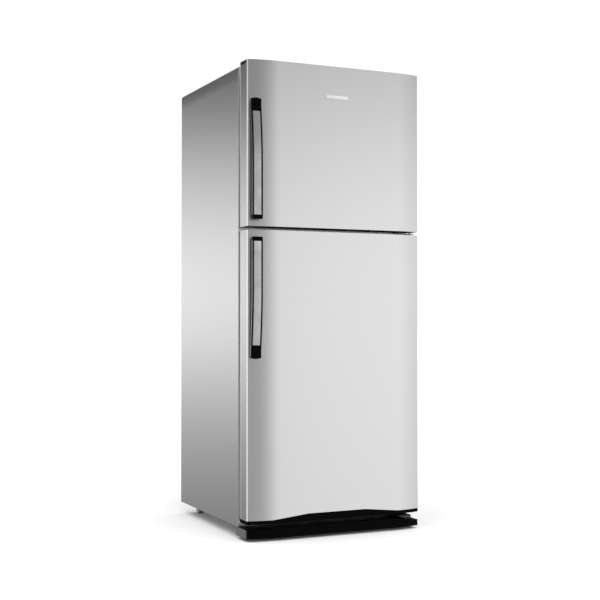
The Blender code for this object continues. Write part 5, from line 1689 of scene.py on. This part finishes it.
@dataclass
class FreezerFittings:
    """Shelf, ice maker and ice box."""

    body: str = "cabinet"

    def build(self) -> None:
        """Finish the shelf, the stand, the tray and the box."""
        for node, finish, body, edge in (("freezer_shelf", CLEAR_GREY, self.body, 0.0012),
                                         ("ice_maker_frame", WHITE, self.body, 0.0012),
                                         ("ice_tray", ICE_BLUE, "ice_tray", 0.0007)):
            Piece(node + "_moulding", finish, body, node, edge=edge, segments=3).make(Shape().node(node))
        low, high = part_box("ice_box")
        shape = open_box(low, high, 0.0022, 0.006, 0.004, lowered_front(low, high, 0.018))
        shape.take(shaped((low.x + 0.030, low.y + 0.0010, high.z - 0.034),
                          (high.x - 0.030, low.y + 0.0045, high.z - 0.028), 0.0010))
        Piece("ice_box_moulding", CLEAR, "ice_box", "ice_box", edge=0.0005).make(shape)
        LOG.info("freezer fittings")


@dataclass
class FreshFittings:
    """Shelves, drawers, air duct, control box, dial and lamp of the fresh food room."""

    body: str = "cabinet"
    glass: float = 0.005
    trim: float = 0.012

    def build(self) -> None:
        """Build every fitting."""
        for node in ("upper_shelf", "lower_shelf", "crisper_cover"):
            self.shelf(node)
        self.drawers()
        self.duct()
        self.controls()
        LOG.info("fresh food fittings")

    def shelf(self, node: str) -> None:
        """Make a glass shelf with its front and rear trims.

        Args:
            node: the shelf's node.
        """
        low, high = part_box(node)
        plate = low.z + GLASS_LIFT
        sheet_shape = Shape().block((low.x + 0.001, low.y + 0.003, plate), (high.x - 0.001, high.y - 0.003,
                                                                       plate + self.glass))
        sheet_shape.round(upright, 0.006, 4)
        Piece(node + "_glass", GLASS, self.body, node, edge=0.0006).make(sheet_shape)
        trims = Shape()
        slider_low, slider_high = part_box("humidity_slider")
        for front in (low.y, high.y - self.trim):
            bar = Shape().block((low.x + self.trim, front, low.z),
                                (high.x - self.trim, front + self.trim, plate + 0.008))
            if front == low.y:
                bar.slice(Axis.Z, (low.z + 0.004, low.z + 0.007))
                bar.push(lambda c: c.y < front + TINY and low.z + 0.004 < c.z < low.z + 0.007,
                         (0.0, 0.0012, 0.0))
            bar.soften(lambda c: c.z > plate + 0.008 - TINY, 0.0022, 3)
            trims.take(bar)
        if node == "crisper_cover":
            rail = (slider_low.z + 0.0017, slider_high.z - 0.0017)
            reach = (slider_low.x, slider_high.x + 0.030)
            bar = Shape().block((slider_low.x - 0.030, low.y - 0.0004, low.z + 0.0004),
                                (slider_high.x + 0.060, low.y + 0.0116, high.z))
            bar.slice(Axis.X, reach).slice(Axis.Z, rail)
            bar.push(lambda c: c.y < low.y and reach[0] < c.x < reach[1] and rail[0] < c.z < rail[1],
                     (0.0, 0.0056, 0.0))
            trims.take(bar)
            slider = shaped((slider_low.x, slider_low.y, slider_low.z),
                            (slider_high.x, slider_low.y + 0.0062, slider_high.z), 0.0012)
            for step in range(-3, 4):
                x = (slider_low.x + slider_high.x) / 2 + step * 0.0032
                slider.block((x - 0.0006, slider_low.y - 0.0002, slider_low.z + 0.002),
                             (x + 0.0006, slider_low.y + 0.001, slider_high.z - 0.002))
            slider.block((slider_low.x + 0.006, slider_low.y + 0.005, rail[0] + 0.0006),
                         (slider_high.x - 0.006, slider_high.y, rail[1] - 0.0006))
            Piece("humidity_slider_cap", GREY_PLASTIC, "humidity_slider", "humidity_slider",
                  edge=0.0002).make(slider)
        Piece(node + "_trims", WHITE, self.body, edge=0.0006).make(trims)

    def drawers(self) -> None:
        """Mould the chiller tray and the crisper drawer with their grips and runners."""
        low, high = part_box("chiller_tray")
        tray = open_box(low, high, 0.0022, 0.010, 0.006, lowered_front(low, high, 0.020))
        tray.take(shaped((-0.110, low.y + 0.0006, high.z - 0.040), (0.110, low.y + 0.0060, high.z - 0.033),
                         0.0012))
        Piece("chiller_tray_moulding", CLEAR, "chiller_tray", "chiller_tray", edge=0.0005).make(tray)
        low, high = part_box("crisper_drawer")
        reach = 0.008
        box = open_box(low + Vector((0.0, reach, 0.0)), high, 0.0022, 0.012, 0.007)
        box.pair(high.x - 0.0040, high.x - 0.0012, (low.y + 0.030, high.z - 0.012),
                 (high.y - 0.020, high.z - 0.008), 0.001)
        Piece("crisper_drawer_moulding", CLEAR, "crisper_drawer", "crisper_drawer", edge=0.0005).make(box)
        grip = Shape().block((-0.080, low.y, high.z - 0.018), (0.080, low.y + reach + 0.0011, high.z))
        grip.round(lambda a, b: min(-a.y, -b.y) > -low.y - TINY, 0.0030, 4)
        grip.inset(lambda c: c.z < high.z - 0.018 + TINY, 0.0020, -0.010)
        Piece("crisper_grip", GREY_PLASTIC, "crisper_drawer", edge=0.0006).make(grip)

    def duct(self) -> None:
        """Mould the air duct with its slots and a raised spine."""
        low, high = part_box("fridge_duct")
        holes = [(side * 0.050 - 0.030, side * 0.050 + 0.030, z, z + 0.008)
                 for side in (-1, 1) for z in (0.500, 0.700, 0.900)]
        shape = Shape().block(low, high)
        shape.drop(lambda c: c.y > high.y - TINY)
        shape.round(lambda a, b: upright(a, b) and a.y < low.y + TINY, 0.006, 4)
        slots(shape, holes, lambda c: c.y < low.y + TINY)
        shape.thicken(0.0026)
        spine = Shape().block((-0.010, low.y - 0.0022, low.z + 0.020), (0.010, low.y + 0.001, high.z - 0.060))
        spine.round(lambda a, b: upright(a, b) and a.y < low.y, 0.0018, 3)
        shape.take(spine)
        Piece("fresh_air_duct", WHITE, self.body, "fridge_duct", edge=0.0008).make(shape)

    def controls(self) -> None:
        """Finish the control box, its scale, the dial, the lamp and its cover."""
        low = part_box("control_box")[0]
        dial_low, dial_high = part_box("temperature_knob")
        x, z = middle_of("temperature_knob").xz
        Piece("control_housing", WHITE, self.body, "control_box", edge=0.0016, segments=3).make(
            Shape().node("control_box"))
        scale = Shape()
        radius = (dial_high.x - dial_low.x) / 2
        ring = radius + 0.0035
        for step in range(7):
            angle = math.radians(150 - 50 * step)
            size = 0.0010 + 0.00025 * step
            scale.rod((x + math.cos(angle) * ring, low.y, z + math.sin(angle) * ring), Axis.Y, 0.0008, size,
                      sides=16)
        Piece("control_scale", GREY_PLASTIC, self.body, edge=0.0).make(scale)
        outline = [(0.0, 0.0125), (0.004, 0.0125), (0.004, 0.0002), (radius, 0.0002), (radius, -0.0040),
                   (radius - 0.0012, -0.0110), (radius - 0.0030, -0.0128), (0.0, -0.0130)]
        dial = Shape().lathe(outline, (x, low.y - 0.0007, z), Axis.Y, 48)
        for step in range(20):
            angle = math.tau * step / 20
            dial.rod((x + math.cos(angle) * (radius - 0.0006), low.y - 0.0048, z + math.sin(angle)
                      * (radius - 0.0006)), Axis.Y, 0.0070, 0.0010, sides=8)
        dial.take(shaped((x - 0.002, dial_low.y, z - radius + 0.002), (x + 0.002, dial_low.y + 0.006,
                                                                   z + radius - 0.002), 0.0008))
        Piece("temperature_dial", GREY_PLASTIC, "temperature_knob", "temperature_knob",
              edge=0.0002).make(dial)
        lamp_low, lamp_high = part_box("lamp_cover")
        cover = Shape().node("lamp_cover")
        ribs = 12
        for step in range(1, ribs):
            rib_x = lamp_low.x + (lamp_high.x - lamp_low.x) * step / ribs
            cover.block((rib_x - 0.0008, lamp_low.y + 0.014, lamp_low.z - 0.0006),
                        (rib_x + 0.0008, lamp_high.y - 0.014, lamp_low.z + 0.0006))
        Piece("lamp_lens", CLEAR, self.body, "lamp_cover", edge=0.0004).make(cover)
        lamp_x, lamp_y = middle_of("lamp_cover").xy
        bulb = [(0.0, -0.020), (0.004, -0.0195), (0.008, -0.017), (0.0105, -0.012), (0.011, -0.007),
                (0.010, -0.001), (0.0075, 0.005), (0.0070, 0.018), (0.0, 0.018)]
        Piece("lamp_bulb", BULB, self.body, edge=0.0).make(
            Shape().lathe(bulb, (lamp_x, lamp_y, lamp_low.z + 0.017), Axis.X, 32))


# ---------------- studio
Stops = tuple[tuple[float, float], ...]


@dataclass
class Studio:
    """Soft light all round, a pale floor and the camera.

    The brightness of the surroundings is given in degrees: azimuth is 0 ahead of the doors, positive
    to their right; height is above the horizon.
    """

    peak: float = 1.6
    heights_behind: Stops = ((-30.0, 0.22), (-12.0, 0.20), (-9.0, 0.30), (-6.5, 0.47), (-4.0, 0.69),
                             (-1.5, 1.12), (1.0, 1.36), (3.5, 1.22), (6.0, 0.93), (8.5, 0.56), (11.0, 0.13),
                             (14.0, 0.05), (25.0, 0.4), (60.0, 1.0))
    heights_ahead: Stops = ((-30.0, 1.0), (-9.0, 1.22), (-4.0, 1.28), (1.0, 1.35), (5.0, 1.55), (8.0, 1.36),
                            (10.0, 1.10), (12.5, 0.70), (16.0, 0.56), (30.0, 0.7), (60.0, 1.0))
    around: Stops = ((-180.0, 1.0), (-135.0, 1.0), (-105.0, 1.45), (-70.0, 1.4), (-45.0, 0.8),
                     (-28.0, 0.42), (-12.0, 0.40), (6.0, 0.43), (18.0, 0.80), (26.0, 1.0), (36.0, 0.99),
                     (46.0, 0.90), (60.0, 0.80), (110.0, 0.8), (180.0, 1.0))
    overhead: float = 1.7
    ahead: float = 90.0
    eye: Point = (-1.8049, -3.9475, 0.7582)
    tilt: float = 90.977
    heading: float = -24.72
    lens: float = 68.77
    floor_half: float = 60.0

    def build(self) -> None:
        """Set the stage."""
        scene = bpy.context.scene
        scene.view_settings.view_transform = "Standard"
        scene.view_settings.look = "None"
        self.surroundings(scene)
        self.floor()
        self.lights()
        self.camera(scene)
        LOG.info("studio")

    @staticmethod
    def _curve(wiring: Wiring, source: bpy.types.NodeSocket, stops: Stops,
               peak: float) -> bpy.types.NodeSocket:
        """Draw brightness over an angle.

        Args:
            wiring: the tree.
            source: the angle in radians.
            stops: (degrees, brightness) pairs.
            peak: brightness that the ramp's full value stands for.

        Returns:
            The brightness, as a share of the peak.
        """
        start, end = math.radians(stops[0][0]), math.radians(stops[-1][0])
        made = wiring.node("ValToRGB")
        ramp = made.color_ramp
        ramp.interpolation = "CARDINAL"
        for index, (angle, brightness) in enumerate(stops):
            place = (math.radians(angle) - start) / (end - start)
            stop = ramp.elements[index] if index < 2 else ramp.elements.new(place)
            stop.position = place
            stop.color = (*[brightness / peak] * 3, 1.0)
        turned = wiring.math("SUBTRACT", source, start)
        wiring.feed(made.inputs[0], wiring.math("DIVIDE", turned, end - start))
        return made.outputs[0]

    def surroundings(self, scene: bpy.types.Scene) -> None:
        """Paint the light that comes from far away.

        Args:
            scene: the scene.
        """
        scene.world = bpy.data.worlds.new("soft surroundings")
        scene.world.use_nodes = True
        tree = scene.world.node_tree
        tree.nodes.clear()
        wiring = Wiring(tree)
        split = wiring.node("SeparateXYZ")
        wiring.feed(split.inputs[0], wiring.node("TexCoord").outputs["Generated"])
        x, y, z = split.outputs
        azimuth = wiring.math("ARCTAN2", x, wiring.times(y, -1.0))
        height = wiring.math("ARCSINE", z)
        frontal = wiring.ramp(y, -0.35, 0.35, 1.0, 0.0)
        ahead = self._curve(wiring, height, self.heights_ahead, self.peak)
        behind = self._curve(wiring, height, self.heights_behind, self.peak)
        level = wiring.mix(frontal, behind, ahead)
        ring = self._curve(wiring, azimuth, self.around, self.peak)
        strength = wiring.times(level, ring, self.peak * self.peak)
        lit, plain = wiring.node("Background"), wiring.node("Background")
        wiring.feed(lit.inputs[1], strength)
        plain.inputs[0].default_value = lit.inputs[0].default_value = (1.0, 1.0, 1.0, 1.0)
        plain.inputs[1].default_value = 1.05
        chosen = wiring.node("MixShader")
        wiring.feed(chosen.inputs[0], wiring.node("LightPath").outputs["Is Camera Ray"])
        wiring.feed(chosen.inputs[1], lit.outputs[0])
        wiring.feed(chosen.inputs[2], plain.outputs[0])
        wiring.feed(tree.nodes.new("ShaderNodeOutputWorld").inputs[0], chosen.outputs[0])

    def floor(self) -> None:
        """Lay the pale floor."""
        shape = bmesh.new()
        bmesh.ops.create_grid(shape, x_segments=1, y_segments=1, size=self.floor_half)
        mesh = bpy.data.meshes.new("floor")
        shape.to_mesh(mesh)
        shape.free()
        floor = bpy.data.objects.new("floor", mesh)
        bpy.context.scene.collection.objects.link(floor)
        mesh.materials.append(Finish("floor_paper", grey(0.93), grey(0.90), 0.9, 0.0,
                                     Grain.SILKY, 0.01, 0.04, 0.3, 1.0, specular=0.0).material())
        floor.visible_glossy = False
        floor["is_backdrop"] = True

    def lights(self) -> None:
        """Hang a wide soft light overhead and a large one ahead."""
        for name, kind, place, target, power, size in (
                ("overhead", "SUN", (0.6, -1.2, 5.0), (0.0, 0.0, 0.0), self.overhead, math.radians(110)),
                ("ahead", "AREA", (-0.6, -4.6, 1.9), (0.0, 0.0, 0.9), self.ahead, 2.6)):
            light = bpy.data.lights.new(name, kind)
            light.energy = power
            setattr(light, "angle" if kind == "SUN" else "size", size)
            lamp = bpy.data.objects.new(name, light)
            bpy.context.scene.collection.objects.link(lamp)
            lamp.location = place
            lamp.rotation_euler = (Vector(target) - Vector(place)).to_track_quat("-Z", "Y").to_euler()
            lamp.visible_camera = lamp.visible_glossy = False

    def camera(self, scene: bpy.types.Scene) -> None:
        """Place the camera.

        Args:
            scene: the scene.
        """
        lens = bpy.data.cameras.new("camera")
        lens.lens, lens.sensor_width = self.lens, 36.0
        camera = bpy.data.objects.new("camera", lens)
        scene.collection.objects.link(camera)
        camera.location = self.eye
        camera.rotation_euler = (math.radians(self.tilt), 0.0, math.radians(self.heading))
        scene.camera = camera


# ---------------- the whole
def main() -> None:
    """Build the refrigerator and its studio."""
    logging.basicConfig(level=logging.INFO, format="%(name)s: %(message)s")
    bow = Bow(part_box("freezer_door_panel")[1].x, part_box("freezer_door_panel")[0].y)
    pieces = [Door("freezer_door", bow, flush_cap=True, ledges=("freezer_upper_bin", "freezer_lower_bin")),
              Door("fridge_door", bow, arch=True, ledges=("dairy_bin", "middle_bin", "bottle_bin")),
              Handle("freezer_door", bow, block_up=True),
              Handle("fridge_door", bow, block_up=False), Badge(),
              DoorBin("freezer_upper_bin", 0.025), DoorBin("freezer_lower_bin", 0.030),
              DoorBin("middle_bin", 0.025), DoorBin("bottle_bin", 0.040), DairyBin(), Cabinet(bow), Hinges(),
              Machinery(), ColdCircuit(), Rooms(), FreezerFittings(), FreshFittings(), Studio()]
    for piece in pieces:
        piece.build()
    for name, box in (("cad", CAD_BOX), ("visual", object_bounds())):
        LOG.info("%s box: %s", name, box)


if __name__ == "__main__":
    main()
